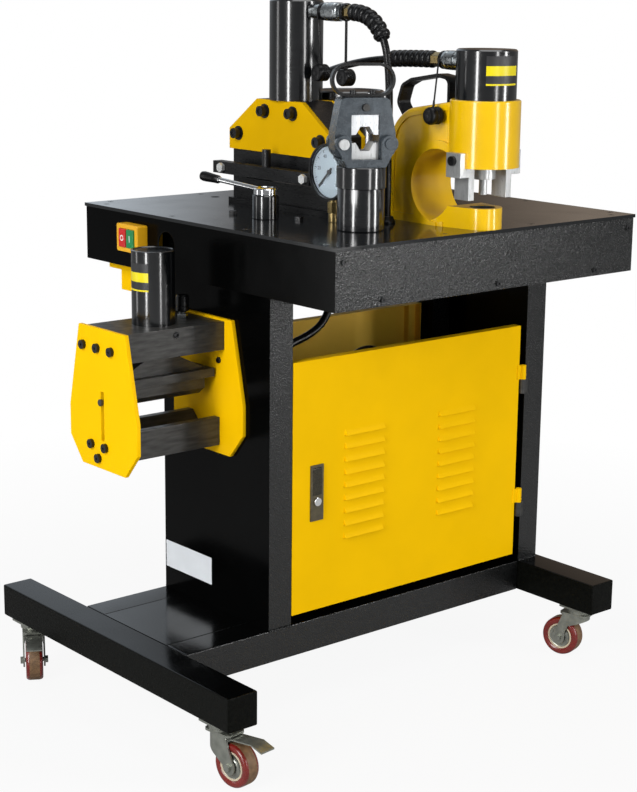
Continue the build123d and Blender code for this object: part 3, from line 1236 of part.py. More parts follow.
# Crimper yoke with the upper die in its window
yoke_top = collar_top + YOKE_TOP_RISE
window_top = collar_top + YOKE_WINDOW_RISE
yoke_side = [
    (YOKE_TOP_WIDTH / 2, yoke_top),
    (YOKE_BOTTOM_WIDTH / 2, collar_top + YOKE_SHOULDER_RISE),
    (YOKE_BOTTOM_WIDTH / 2, collar_top + YOKE_FOOT_RISE),
    (YOKE_WINDOW / 2, collar_top + YOKE_FOOT_RISE),
    (YOKE_WINDOW / 2, window_top),
]
yoke_outline = yoke_side + [(-x, z) for x, z in reversed(yoke_side)]
yoke = outline_y(yoke_outline, about(0, YOKE_THICK))
yoke = fillet(yoke.edges().filter_by(Axis.Y).group_by(Axis.Z)[-1], YOKE_CORNER)
yoke_feet = yoke.edges().filter_by(Axis.Y).group_by(Axis.Z)[0].sort_by(Axis.X)
yoke = fillet([yoke_feet[0], yoke_feet[-1]], YOKE_FOOT_ROUND)
yoke -= pin_holes
button_rise = collar_top + DIE_BUTTON_RISE
button_y = -YOKE_THICK / 2
die_button_back = button_y - DIE_BUTTON_PROUD + DIE_BUTTON_LENGTH
button_bore_back = die_button_back + DIE_BUTTON_STROKE + FREE_GAP
yoke -= rod((0, button_y, button_rise), (0, button_bore_back, button_rise), DIE_BUTTON_R + FREE_GAP)
die_x = about(0, YOKE_WINDOW - 2 * DIE_SIDE_GAP)
die_y = about(0, DIE_DEPTH)
upper_bottom = window_top - UPPER_DIE_HEIGHT
lower_top = upper_bottom - DIE_REST_GAP
upper_die = block(die_x, die_y, (upper_bottom, window_top))
die_corners = [math.radians(60 * corner) for corner in range(6)]
die_form = [(DIE_HEX * math.cos(turn), DIE_HEX * math.sin(turn)) for turn in die_corners]
upper_die -= outline_y([(x, upper_bottom + z) for x, z in die_form], die_y)
save("crimper_yoke", crimper_place * yoke, crimper_place * upper_die)
die_button_front = (0, button_y - DIE_BUTTON_PROUD, button_rise)
die_button = rod(die_button_front, (0, die_button_back, button_rise), DIE_BUTTON_R)
save("die_button", crimper_place * die_button)
lower_bottom = lower_top - LOWER_DIE_HEIGHT
crimper_ram = block(die_x, die_y, (lower_bottom, lower_top))
crimper_ram -= outline_y([(x, lower_top + z) for x, z in die_form], die_y)
ram_foot = CRIMPER_BORE_FLOOR + FREE_GAP
crimper_ram += upright(0, 0, (ram_foot, lower_bottom), CRIMPER_ROD_R)
save("crimper_ram", crimper_place * crimper_ram)

# Carrying loop on the yoke
loop_z = yoke_top + LOOP_HEIGHT / 2
loop_plane = Plane.XZ.offset(-LOOP_DEPTH / 2)
loop_shape = SlotOverall(LOOP_WIDTH, LOOP_HEIGHT)
loop_shape -= SlotOverall(LOOP_WIDTH - 2 * LOOP_THICK, LOOP_HEIGHT - 2 * LOOP_THICK)
loop = extrude(loop_plane * (Pos(0, loop_z) * loop_shape), LOOP_DEPTH, dir=(0, -1, 0))
save("crimper_handle", crimper_place * loop)
for side in (-1, 1):
    x = side * LOOP_SCREW_SPREAD / 2
    start = (x, 0, yoke_top + LOOP_THICK)
    screws.append(crimper_place * socket_screw(start, (x, 0, start[2] + CAP_SCREW_HEIGHT), BUTTON_HEAD_R))

# Pressure gauge: case with a dial recess, needle, brass stem
dial_z = TABLE_HEIGHT + GAUGE_HEIGHT
gauge_front = gauge_x - GAUGE_DEPTH / 2
gauge_back = gauge_x + GAUGE_DEPTH / 2
dial_x = gauge_front + GAUGE_DIAL_DEPTH
case = rod((gauge_front, gauge_y, dial_z), (gauge_back, gauge_y, dial_z), GAUGE_R)
case -= rod((gauge_front, gauge_y, dial_z), (dial_x, gauge_y, dial_z), GAUGE_R - GAUGE_RIM)
pin_back = dial_x + NEEDLE_PIN_LENGTH
case -= rod((dial_x, gauge_y, dial_z), (pin_back + FREE_GAP, gauge_y, dial_z), NEEDLE_PIN_R + RUNNING_FIT)
save("gauge_case", case)
needle_x = (dial_x - NEEDLE_LIFT - NEEDLE_THICK, dial_x - NEEDLE_LIFT)
needle_flat = block(needle_x, (-NEEDLE_TAIL, NEEDLE_LENGTH), about(0, NEEDLE_WIDTH))
needle_turn = Pos(0, gauge_y, dial_z) * Rot(-45, 0, 0)
needle = needle_turn * needle_flat
needle += rod((needle_x[0], gauge_y, dial_z), (dial_x - FREE_GAP, gauge_y, dial_z), NEEDLE_HUB_R)
needle += rod((dial_x - FREE_GAP, gauge_y, dial_z), (pin_back, gauge_y, dial_z), NEEDLE_PIN_R)
save("gauge_needle", needle)
nut_z = (TABLE_HEIGHT, TABLE_HEIGHT + GAUGE_NUT_HEIGHT)
gauge_nut = upright(gauge_x, gauge_y, nut_z, GAUGE_NUT_R)
stem_top = (gauge_x, gauge_y, dial_z - GAUGE_R / 2)
gauge_stem = hexagon_rod((gauge_x, gauge_y, nut_z[1]), stem_top, GAUGE_STEM_R)
gauge_stem -= rod((gauge_front, gauge_y, dial_z), (gauge_back, gauge_y, dial_z), GAUGE_R)

# Control valve and its lever
valve_top = TABLE_HEIGHT + VALVE_BODY_HEIGHT
valve = upright(valve_x, valve_y, (TABLE_HEIGHT, valve_top), VALVE_R)
pin_low = valve_top - VALVE_PIN_LENGTH
valve -= upright(valve_x, valve_y, (pin_low - FREE_GAP, valve_top), VALVE_PIN_R + RUNNING_FIT)
save("valve_body", valve)
cap_z = (valve_top + FREE_GAP, valve_top + FREE_GAP + VALVE_CAP_HEIGHT)
lever_root_z = cap_z[0] + VALVE_CAP_HEIGHT / 2
lever = upright(0, 0, cap_z, VALVE_CAP_R) + upright(0, 0, (pin_low, cap_z[0]), VALVE_PIN_R)
grip_start = LEVER_LENGTH - GRIP_LENGTH
lever_slope = LEVER_RISE / LEVER_LENGTH
lever_end = (LEVER_LENGTH, 0, lever_root_z + LEVER_RISE)
grip_root = (grip_start, 0, lever_root_z + lever_slope * grip_start)
lever += rod((0, 0, lever_root_z), grip_root, LEVER_R)
lever += rod(grip_root, lever_end, GRIP_R)
lever_place = Pos(valve_x, valve_y, 0) * Rot(0, 0, LEVER_HEADING)
save("valve_lever", lever_place * lever)
table_bolts = [
    (valve_x - REAR_BOLT_ACROSS, valve_y + REAR_BOLT_BEHIND, TABLE_HEIGHT),
    (valve_x + FRONT_BOLT_ACROSS, valve_y - FRONT_BOLT_AHEAD, TABLE_HEIGHT),
]
for start in table_bolts:
    screws.append(hexagon_rod(start, (start[0], start[1], TABLE_HEIGHT + CAP_SCREW_HEIGHT), CAP_SCREW_R))

# Header tank
header_top = TABLE_HEIGHT + HEADER_HEIGHT
header = upright(header_x, header_y, (TABLE_HEIGHT, header_top), HEADER_R)
header += upright(header_x, header_y, (header_top - HEADER_COLLAR, header_top), HEADER_COLLAR_R)
save("header_tank", header)


def coupler(port, length, away):
    """Quick coupler leaving a cylinder along Y: a body and a wider sleeve."""
    x, y, z = port
    end = (x, y + away * length, z)
    sleeve_end = (x, y + away * (length - COUPLER_TAIL), z)
    sleeve_start = (x, sleeve_end[1] - away * COUPLER_SLEEVE, z)
    body = rod((x, y - away * COUPLER_R, z), end, COUPLER_R)
    return body + rod(sleeve_start, sleeve_end, COUPLER_SLEEVE_R)


cutter_wall = upright(cutter_x, cutter_y, (cutter_top, cutter_cylinder_top), CUTTER_CYLINDER_R)
punch_wall = upright(punch_x, punch_y, (head_top, punch_cylinder_top), PUNCH_CYLINDER_R)
cutter_coupler = coupler((cutter_x, cutter_port_y, cutter_port_z), CUTTER_COUPLER_LENGTH, -1) - cutter_wall
punch_coupler = coupler((punch_x, punch_port_y, punch_port_z), PUNCH_COUPLER_LENGTH, 1) - punch_wall
nipple_place = (bender_far - NIPPLE_FROM_PLATE, BENDER_AXIS_Y + NIPPLE_SHIFT)
nipple_z = (BENDER_BLOCK_TOP, BENDER_BLOCK_TOP + NIPPLE_HEIGHT)
nipple = upright(*nipple_place, nipple_z, NIPPLE_R)
save("fittings", cutter_coupler, punch_coupler, nipple, gauge_nut, gauge_stem)


def ribbed_guard(path, ribs):
    """Ribbed sleeve round the start of a hose, four circles to a rib along its path."""
    steps = ((0.0, GUARD_VALLEY_R), (0.2, GUARD_R), (0.6, GUARD_R), (0.8, GUARD_VALLEY_R))
    outer = []
    inner = []
    for rib in range(ribs):
        for share, r in steps:
            distance = (rib + share) * RIB_PITCH
            spot = distance / path.length
            plane = Plane(origin=path @ spot, x_dir=(1, 0, 0), z_dir=path % spot)
            outer.append(plane * Circle(r))
            inner.append(plane * Circle(HOSE_R + GUARD_FIT))
    return loft(outer, ruled=True) - loft(inner, ruled=True)


cutter_guard = ribbed_guard(cutter_path, CUTTER_GUARD_RIBS)
punch_guard = ribbed_guard(punch_path, PUNCH_GUARD_RIBS)
save("bend_guards", cutter_guard, punch_guard)

# Rubber pieces: hose grommets and dust caps hanging by straps from the couplers
rubber = []
for x, y in grommets:
    neck = upright(x, y, (table_under, grommet_top), GROMMET_NECK_R)
    rubber.append(neck + upright(x, y, (TABLE_HEIGHT, grommet_top), GROMMET_R))


def dust_cap(hub, hub_r, drop, lean, drift=0):
    """Cap on a flat strap from a ring round a coupler, its round face to the left end."""
    x, y, z = hub
    ring_r = hub_r + STRAP_RING
    half = STRAP_RING_WIDTH / 2
    ring = rod((x, y - half, z), (x, y + half, z), ring_r)
    ring -= rod((x, y - half, z), (x, y + half, z), hub_r + RUNNING_FIT)
    cap_x = x + lean
    cap_y = y + drift
    cap_z = z - drop
    cap_ends = [(end_x, cap_y, cap_z) for end_x in about(cap_x, DUST_CAP_LENGTH)]
    cap = rod(*cap_ends, DUST_CAP_R)
    cap = fillet(cap.edges().group_by(Axis.X)[0], DUST_CAP_LENGTH / 4)
    side = math.copysign(ring_r, lean) if lean else 0
    strap_top = Vector(x + side, y, z if lean else z - hub_r - STRAP_RING / 2)
    run = Vector(cap_x, cap_y, cap_z + DUST_CAP_R / 2) - strap_top
    strap_plane = Plane(origin=strap_top, x_dir=(0, 1, 0), z_dir=run)
    strap_face = strap_plane * Rectangle(DUST_STRAP, DUST_STRAP_THICK)
    return ring + cap + extrude(strap_face, run.length, dir=run.normalized())


bender_cap_z = (nipple_z[1], nipple_z[1] + DUST_CAP_LENGTH)
rubber.append(upright(*nipple_place, bender_cap_z, NIPPLE_R + STRAP_RING))
plug_hub = (cutter_x, cutter_port_y - CUTTER_PLUG_RING, cutter_port_z)
rubber.append(dust_cap(plug_hub, COUPLER_R, CUTTER_PLUG_DROP, -CUTTER_PLUG_LEAN))
cap_hub = (cutter_x, cutter_hose_start[1] + CUTTER_CAP_RING, cutter_port_z)
rubber.append(dust_cap(cap_hub, COUPLER_R, CUTTER_CAP_DROP, 0))
punch_hub = (punch_x, punch_port_y + PUNCH_CAP_RING, punch_port_z)
rubber.append(dust_cap(punch_hub, COUPLER_R, PUNCH_CAP_DROP, -PUNCH_CAP_LEAN, -PUNCH_CAP_DRIFT))
save("rubber_caps", *rubber)
save("screws", *screws)

# Casters: fixed plate and race, swivelling fork, wheel, and one brake pedal
plate_bottom = CASTER_HEIGHT - CASTER_PLATE_THICK
race_bottom = plate_bottom - RACE_HEIGHT
crown_top = race_bottom - FREE_GAP
crown_bottom = crown_top - FORK_CROWN
nut_bottom = crown_bottom - FREE_GAP - KING_NUT_HEIGHT
cheek_inner = WHEEL_WIDTH / 2 + FORK_SIDE_GAP
cheek_outer = cheek_inner + FORK_SHEET
caster_y = FOOT_LENGTH / 2 - CASTER_FROM_END
casters = {
    "front_left": (-foot_x, -caster_y, -83),
    "front_right": (foot_x, -caster_y, 105),
    "rear_left": (-foot_x, caster_y, -120),
    "rear_right": (foot_x, caster_y, 60),
}
caster_mount = block(about(0, CASTER_PLATE), about(0, CASTER_PLATE), (plate_bottom, CASTER_HEIGHT))
caster_mount += upright(0, 0, (race_bottom, plate_bottom), RACE_R)
caster_mount += upright(0, 0, (nut_bottom, race_bottom), KING_PIN_R)
caster_mount += upright(0, 0, (nut_bottom, nut_bottom + KING_NUT_HEIGHT), KING_PIN_R + 3)
save("caster_plates", *[Pos(x, y, 0) * caster_mount for x, y, heading in casters.values()])

fork = block((-FORK_CROWN_BACK, FORK_CROWN_FRONT), (-cheek_outer, cheek_outer), (crown_bottom, crown_top))
fork = fillet(fork.edges().filter_by(Axis.Z), FORK_CROWN_BACK / 3)
cheek_z = (WHEEL_R - FORK_EYE_R, crown_bottom)
cheek_end = TRAIL + FORK_EYE_R
cheeks = upright(0, 0, cheek_z, cheek_outer) + block((0, cheek_end), (-cheek_outer, cheek_outer), cheek_z)
cheeks -= upright(0, 0, cheek_z, cheek_inner) + block((0, cheek_end), (-cheek_inner, cheek_inner), cheek_z)
cheek_outline = [
    (-cheek_outer, crown_bottom),
    (FORK_CROWN_FRONT - FORK_CROWN_BACK / 3, crown_bottom),
    (cheek_end, WHEEL_R),
    (TRAIL - FORK_EYE_R, WHEEL_R),
]
eye_top = WHEEL_R + FORK_EYE_R
sweep_z = (eye_top + crown_bottom - FORK_SWEEP_DROP) / 2
backs = {
    "braked": [(-cheek_outer, crown_bottom - FORK_BACK_DROP)],
    "plain": [
        (TRAIL - FORK_EYE_R, eye_top),
        (TRAIL - FORK_EYE_R - FORK_SWEEP_BEND, sweep_z),
        (-cheek_outer, crown_bottom - FORK_SWEEP_DROP),
    ],
}
axle_hole = rod((TRAIL, -cheek_outer, WHEEL_R), (TRAIL, cheek_outer, WHEEL_R), AXLE_R)
forks = {}
for kind, back in backs.items():
    cheek_form = outline_y(cheek_outline + back, (-cheek_outer, cheek_outer))
    cheek_form += rod((TRAIL, -cheek_outer, WHEEL_R), (TRAIL, cheek_outer, WHEEL_R), FORK_EYE_R)
    one_fork = fork + (cheeks & cheek_form)
    one_fork -= upright(0, 0, (crown_bottom, crown_top), KING_PIN_R + RUNNING_FIT)
    forks[kind] = one_fork - axle_hole
axle = axle_hole
for side in (-1, 1):
    head_start = (TRAIL, side * cheek_outer, WHEEL_R)
    axle += hexagon_rod(head_start, (TRAIL, side * (cheek_outer + AXLE_HEAD), WHEEL_R), AXLE_R + 3)
wheel = rod((TRAIL, -WHEEL_WIDTH / 2, WHEEL_R), (TRAIL, WHEEL_WIDTH / 2, WHEEL_R), WHEEL_R)
wheel = fillet(wheel.edges().filter_by(GeomType.CIRCLE), WHEEL_WIDTH / 6)
dish_r = WHEEL_R - 2 * FORK_EYE_R / 3
for side in (-1, 1):
    face = side * WHEEL_WIDTH / 2
    dish_start = (TRAIL, face, WHEEL_R)
    dish_end = (TRAIL, face - side * WHEEL_DISH, WHEEL_R)
    wheel -= rod(dish_start, dish_end, dish_r) - rod(dish_start, dish_end, WHEEL_HUB_R)
wheel -= rod((TRAIL, -WHEEL_WIDTH, WHEEL_R), (TRAIL, WHEEL_WIDTH, WHEEL_R), AXLE_R + RUNNING_FIT)
pedal_z = crown_bottom - PEDAL_DROP
pedal_ends = [(PEDAL_FROM_SWIVEL, -cheek_outer, pedal_z), (PEDAL_FROM_SWIVEL, cheek_outer, pedal_z)]
pedals = {"front_left": "brake_pedal", "rear_left": "rear_brake_pedal"}
for name, (x, y, heading) in casters.items():
    place = Pos(x, y, 0) * Rot(0, 0, heading)
    this_fork = forks["plain"]
    if name in pedals:
        this_fork = forks["braked"] - rod(*pedal_ends, PEDAL_PIN_R + RUNNING_FIT)
        tip_x = PEDAL_FROM_SWIVEL + PEDAL_LENGTH
        bend_z = pedal_z + PEDAL_RISE
        half = PEDAL_SHEET / 2
        pedal_line = [
            (PEDAL_FROM_SWIVEL, pedal_z),
            (tip_x - PEDAL_LIP, bend_z),
            (tip_x, bend_z - PEDAL_LIP_DROP),
        ]
        pedal_outline = [(along, height - half) for along, height in pedal_line]
        pedal_outline += [(along, height + half) for along, height in reversed(pedal_line)]
        pedal = outline_y(pedal_outline, about(0, PEDAL_WIDTH))
        save(pedals[name], place * (pedal + rod(*pedal_ends, PEDAL_PIN_R)))
    save(f"fork_{name}", place * this_fork, place * axle)
    save(f"wheel_{name}", place * wheel)
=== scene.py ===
import math

import bmesh
import bpy
from bpy.props import FloatProperty, FloatVectorProperty, IntProperty, PointerProperty
from bpy.types import Operator, Panel, PropertyGroup
from mathutils import Matrix, Vector


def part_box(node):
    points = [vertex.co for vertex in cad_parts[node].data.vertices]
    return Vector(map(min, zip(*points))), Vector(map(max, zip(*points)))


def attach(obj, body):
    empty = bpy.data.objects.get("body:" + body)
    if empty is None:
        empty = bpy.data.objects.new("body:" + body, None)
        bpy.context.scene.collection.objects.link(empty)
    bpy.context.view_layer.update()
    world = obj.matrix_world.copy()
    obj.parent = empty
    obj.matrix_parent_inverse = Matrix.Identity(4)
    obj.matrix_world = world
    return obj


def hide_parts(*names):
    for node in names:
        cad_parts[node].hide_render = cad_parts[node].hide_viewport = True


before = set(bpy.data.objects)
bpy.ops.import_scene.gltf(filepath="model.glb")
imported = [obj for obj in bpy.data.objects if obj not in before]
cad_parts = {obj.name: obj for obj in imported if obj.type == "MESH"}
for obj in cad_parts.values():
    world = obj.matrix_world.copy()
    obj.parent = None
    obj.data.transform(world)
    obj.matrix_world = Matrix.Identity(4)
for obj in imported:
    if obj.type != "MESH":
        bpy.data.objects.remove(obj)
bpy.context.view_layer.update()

bl_info = {
    "name": "Busbar Processing Machine",
    "version": (1, 0, 0),
    "blender": (4, 5, 0),
    "location": "View3D > Sidebar > Busbar Machine",
    "description": "Dresses the CAD model of a wheeled machine that cuts, punches, bends and crimps busbars",
    "category": "Object",
}

MM = 0.001

# Hose routes of the CAD model, in millimetres
CUTTER_ROUTE = [
    (8, -86.5, 1225), (8, -112.5, 1225), (8, -146.5, 1210), (8, -171, 1179), (8, -182, 1135),
    (9, -184.5, 1073), (9, -182.5, 1009), (9, -183.5, 945), (9, -183.5, 882),
]
PUNCH_ROUTE = [
    (98, -200.5, 1148), (98, -158.5, 1148), (98, -88.5, 1145), (96, -20, 1138), (100, 50, 1125),
    (112, 120, 1108), (134, 164, 1068), (152, 186, 1008), (157, 191, 940), (157, 191, 882),
]
CABINET_ROUTE = [
    (176, 0, 436), (176, 0, 488), (170, -20, 541), (141, -45, 591), (91, -60, 620), (40, -60, 612),
    (-7.5, -60, 557), (-65, -60, 508.5), (-110.5, -60, 505.5), (-149, -60, 529.5), (-166, -60, 571.5),
    (-155, -60, 616), (-120, -60, 645), (-46, -60, 664), (-16, -60, 694), (-4, -58, 741), (4, -50, 796),
    (8, -46, 832), (8, -46, 864),
]
CUTTER_GUARD = 96.0
PUNCH_GUARD = 110.0

# Places and sizes read off the CAD model, in millimetres and degrees
CUTTER_PORT = (8.0, 17.5, 1225.0)
PUNCH_PORT = (98.0, -274.5, 1148.0)
CUTTER_COUPLER = 104.0
PUNCH_COUPLER = 74.0
COUPLER_SLEEVE = 69.0
COUPLER_R = 13.0
NIPPLE = (-272.5, 32.0, 702.0)
GAUGE_AXIS = (-120.0, 957.0)
GAUGE_FRONT = -75.5
DIAL_FACE = -67.5
VALVE = (-125.5, -15.0, 912.3)
LEVER_HEADING = 100.0
LEVER_REACH = 155.0
LEVER_RISE = 15.0
GRIP_LENGTH = 44.0
TABLE_TOP = 870.0
CASTERS = {
    "front_left": (-433.5, -295.0, -83.0),
    "front_right": (433.5, -295.0, 105.0),
    "rear_left": (-433.5, 295.0, -120.0),
    "rear_right": (433.5, 295.0, 60.0),
}
TRAIL = 34.0
WHEEL_R = 37.5
CUTTER_AXIS = (8.0, 66.0)
PUNCH_AXIS = (98.0, -326.0)
BENDER_AXIS = (-340.5, 22.0)
TANK_AXIS = (125.0, 54.0)
CRIMPER_AXIS = (-84.8, -221.0)
CRIMPER_TURN = -26.0
FOOT_X = 433.5
FOOT_HALF = 350.0
RAIL_Y = 125.5
RAIL_HALF = 403.5
TUBE_HALF = 30.0
TUBE_LOW = 105.0
TUBE_HIGH = 165.0
POST_FRONTS = ((-201.5, -156), (428.5, -156), (-201.5, 156), (428.5, 156))

# Small details that only the scene has, in millimetres and degrees
DIAL_MARKS = 51
DIAL_START = 225.0
DIAL_STEP = 5.4
DIAL_NUMBERS = 29.0
BAND_PROUD = 0.12
BEADS = 13
BEAD_STEP = 3.75
BEAD_R = 2.6
GUARD_PLAY = 0.3

# Points this close, in metres, are joined. Edges are told apart by the angle between their faces
MERGE = 1e-6
SMOOTH_EDGE = math.radians(35)
SHARP_EDGE = math.radians(50)

# Edge setting, in millimetres, at which the CAD pieces get the rounding listed for them
PLAIN_EDGE = 1.2

# How patches, smudges and clear coat lie on every finish
PATCH_START = 0.3
PATCH_END = 0.7
LONGEST_PATCH = 6
SMUDGE_DENSITY = 2.3
COAT_ROUGHNESS = 0.16

# An end face looks less than this along Y, and a top face more than this along Z
END_FACE = 0.6
TOP_FACE = 0.8

# Beyond every piece, in millimetres
FAR = 2000.0

# Camera fitted to the photograph: place in metres, heading, pitch and roll in degrees, lens in millimetres
CAMERA_PLACE = (-2.0413, -2.4297, 1.2774)
CAMERA_ANGLES = (40.22, 13.28, 0.62)
CAMERA_LENS = 79.95
SENSOR_HEIGHT = 36.0
CLIP_END = 1000.0

# Lamps: name, setting, share of that setting's power, place and size in metres
LAMPS = [
    ("key_lamp", "key", 1.0, (-3.8, -1.15, 2.9), (2.2, 2.0)),
    ("fill_lamp", "fill", 1.0, (1.55, -2.8, 1.4), (0.36, 2.0)),
    ("top_lamp", "top", 1.0, (0.4, -0.4, 4.0), (2.2, 2.2)),
    ("left_strip", "strip", 1.0, (-2.92, -0.85, 1.25), (0.36, 2.2)),
    ("right_strip", "strip", 0.42, (-0.14, -3.0, 1.1), (0.3, 2.0)),
    ("back_strip", "strip", 0.16, (-2.35, 1.75, 1.0), (0.4, 2.0)),
]
LAMP_AIM = (0.0, 0.0, 0.75)

# Floor: grey under the lamps, white to the camera, whiter farther off, in metres
FLOOR_HALF = 400.0
FLOOR_GREY = (0.4, 0.4, 0.4, 1.0)
FLOOR_ROUGHNESS = 0.9
FLOOR_WHITE = (0.92, 1.0)
FLOOR_WHITE_REACH = (0.7, 1.9)
FLOOR_MIRRORED = 0.15
WHITE = (1.0, 1.0, 1.0, 1.0)

# Room: plain in front and graded from left to right behind, seen along the camera's level heading
LOOK_X = 0.645
LOOK_Y = 0.764
ROOM_FRONT = (0.2, 0.205, 0.21, 1.0)
ROOM_MIRRORED = 0.0
WALL_DEPTH = (0.35, 0.8)
WALL_SIDES = (-0.15, 0.2)
WALL_COLOURS = [
    (0.08, (0.8, 0.88, 0.96, 1.0)), (0.36, (0.13, 0.11, 0.095, 1.0)),
    (0.62, (0.075, 0.055, 0.04, 1.0)), (0.86, (0.36, 0.29, 0.23, 1.0)),
]


class MachineColours(PropertyGroup):
    """Colours of the machine's finishes."""

    yellow: FloatVectorProperty(
        name="Yellow Enamel", description="Doors, bender plates and table bracket", subtype="COLOR",
        default=(0.84, 0.485, 0.0012), min=0.0, max=1.0,
    )
    casting: FloatVectorProperty(
        name="Yellow Casting", description="Punch frame", subtype="COLOR",
        default=(0.76, 0.455, 0.0012), min=0.0, max=1.0,
    )
    hammer: FloatVectorProperty(
        name="Hammered Black", description="Fronts and backs of posts, skirt and rails", subtype="COLOR",
        default=(0.006, 0.0066, 0.0066), min=0.0, max=1.0,
    )
    smooth_black: FloatVectorProperty(
        name="Smooth Black", description="Side panels, and tops of feet and rails", subtype="COLOR",
        default=(0.001, 0.0011, 0.0011), min=0.0, max=1.0,
    )
    cylinder: FloatVectorProperty(
        name="Cylinder Black", description="Cylinders, header tank and valve body", subtype="COLOR",
        default=(0.003, 0.0035, 0.0042), min=0.0, max=1.0,
    )
    dark_steel: FloatVectorProperty(
        name="Dark Steel", description="Bender block, die and ram, and the pump", subtype="COLOR",
        default=(0.07, 0.069, 0.066), min=0.0, max=1.0,
    )
    bright_steel: FloatVectorProperty(
        name="Ground Steel", description="Blade, rams, stripper legs and latch pin", subtype="COLOR",
        default=(0.55, 0.56, 0.56), min=0.0, max=1.0,
    )
    grey_steel: FloatVectorProperty(
        name="Grey Steel", description="Crimper yoke and lugs", subtype="COLOR",
        default=(0.055, 0.068, 0.08), min=0.0, max=1.0,
    )
    zinc: FloatVectorProperty(
        name="Zinc Plate", description="Caster forks, plates, hubs and brake pedals", subtype="COLOR",
        default=(0.29, 0.3, 0.265), min=0.0, max=1.0,
    )
    tyre: FloatVectorProperty(
        name="Tyre Red", description="Sides of the caster wheels", subtype="COLOR",
        default=(0.17, 0.012, 0.008), min=0.0, max=1.0,
    )
    tread: FloatVectorProperty(
        name="Tread Tan", description="Worn running face of the caster wheels", subtype="COLOR",
        default=(0.2, 0.11, 0.05), min=0.0, max=1.0,
    )
    rubber: FloatVectorProperty(
        name="Rubber", description="Hoses, guards, caps, grommets and grips", subtype="COLOR",
        default=(0.0035, 0.0035, 0.004), min=0.0, max=1.0,
    )
    dial: FloatVectorProperty(
        name="Dial", description="Face of the pressure gauge", subtype="COLOR",
        default=(0.35, 0.42, 0.475), min=0.0, max=1.0,
    )


class MachineSizes(PropertyGroup):
    """Sizes of the pieces that dress the CAD model."""

    hose: FloatProperty(
        name="Hose", description="Diameter of the two table hoses", default=0.013, min=0.004, max=0.03,
        unit="LENGTH", precision=4,
    )
    cabinet_hose: FloatProperty(
        name="Cabinet Hose", description="Diameter of the hose inside the column", default=0.014, min=0.004,
        max=0.03, unit="LENGTH", precision=4,
    )
    guard: FloatProperty(
        name="Guard", description="Outer radius of the ribbed hose guards", default=0.015, min=0.008,
        max=0.03, unit="LENGTH", precision=4,
    )
    cutter_ribs: IntProperty(
        name="Cutter Guard Ribs", description="Ribs on the cutter hose guard", default=7, min=3, max=40,
    )
    punch_ribs: IntProperty(
        name="Punch Guard Ribs", description="Ribs on the punch hose guard", default=8, min=3, max=40,
    )
    edge: FloatProperty(
        name="Edge Rounding", description="Rounding of the CAD model's edges", default=0.0012, min=0.0001,
        max=0.005, unit="LENGTH", precision=4,
    )


class MachineStage(PropertyGroup):
    """Light round the machine."""

    key: FloatProperty(
        name="Key", description="Power of the large lamp on the left", default=106.0, unit="POWER",
    )
    fill: FloatProperty(
        name="Fill", description="Power of the lamp on the right", default=46.0, unit="POWER",
    )
    strip: FloatProperty(
        name="Strip", description="Power of the tall strip lamps", default=46.0, unit="POWER",
    )
    top: FloatProperty(
        name="Top", description="Power of the lamp overhead", default=35.0, unit="POWER",
    )
    sky: FloatProperty(name="Surroundings", description="Brightness of the room", default=1.0, min=0.0)


def shade(colour, factor):
    """A colour made darker or lighter, with its alpha."""
    return (*(channel * factor for channel in colour), 1.0)


def pattern(tree, scale, lie=(1, 1, 1), kind="Noise", detail=3.0):
    """A pattern in Object coordinates, denser along the axes with large lie values."""
    place = tree.nodes.new("ShaderNodeTexCoord")
    mapping = tree.nodes.new("ShaderNodeMapping")
    mapping.inputs["Scale"].default_value = lie
    texture = tree.nodes.new(f"ShaderNodeTex{kind}")
    texture.inputs["Scale"].default_value = scale
    if kind == "Noise":
        texture.inputs["Detail"].default_value = detail
    else:
        texture.feature = "SMOOTH_F1"
        texture.inputs["Smoothness"].default_value = 0.35
    tree.links.new(place.outputs["Object"], mapping.inputs["Vector"])
    tree.links.new(mapping.outputs["Vector"], texture.inputs["Vector"])
    return texture.outputs["Fac" if kind == "Noise" else "Distance"]


def spread(tree, source, low, high, start=PATCH_START, end=PATCH_END):
    """A pattern's values between start and end, spread from low to high."""
    ranged = tree.nodes.new("ShaderNodeMapRange")
    ranged.inputs["From Min"].default_value = start
    ranged.inputs["From Max"].default_value = end
    ranged.inputs["To Min"].default_value = low
    ranged.inputs["To Max"].default_value = high
    tree.links.new(source, ranged.inputs["Value"])
    return ranged.outputs["Result"]


def ramp(tree, source, stops):
    """Colours laid along a pattern's values."""
    node = tree.nodes.new("ShaderNodeValToRGB")
    elements = node.color_ramp.elements
    while len(elements) < len(stops):
        elements.new(0.5)
    for element, (spot, colour) in zip(elements, stops):
        element.position = spot
        element.color = colour
    tree.links.new(source, node.inputs["Fac"])
    return node.outputs["Color"]


def relief(tree, surface, source, strength, depth):
    """Adds a pattern in relief to what the surface already has."""
    bump = tree.nodes.new("ShaderNodeBump")
    bump.inputs["Strength"].default_value = strength
    bump.inputs["Distance"].default_value = depth
    tree.links.new(source, bump.inputs["Height"])
    if surface.inputs["Normal"].is_linked:
        tree.links.new(surface.inputs["Normal"].links[0].from_socket, bump.inputs["Normal"])
    tree.links.new(bump.outputs["Normal"], surface.inputs["Normal"])


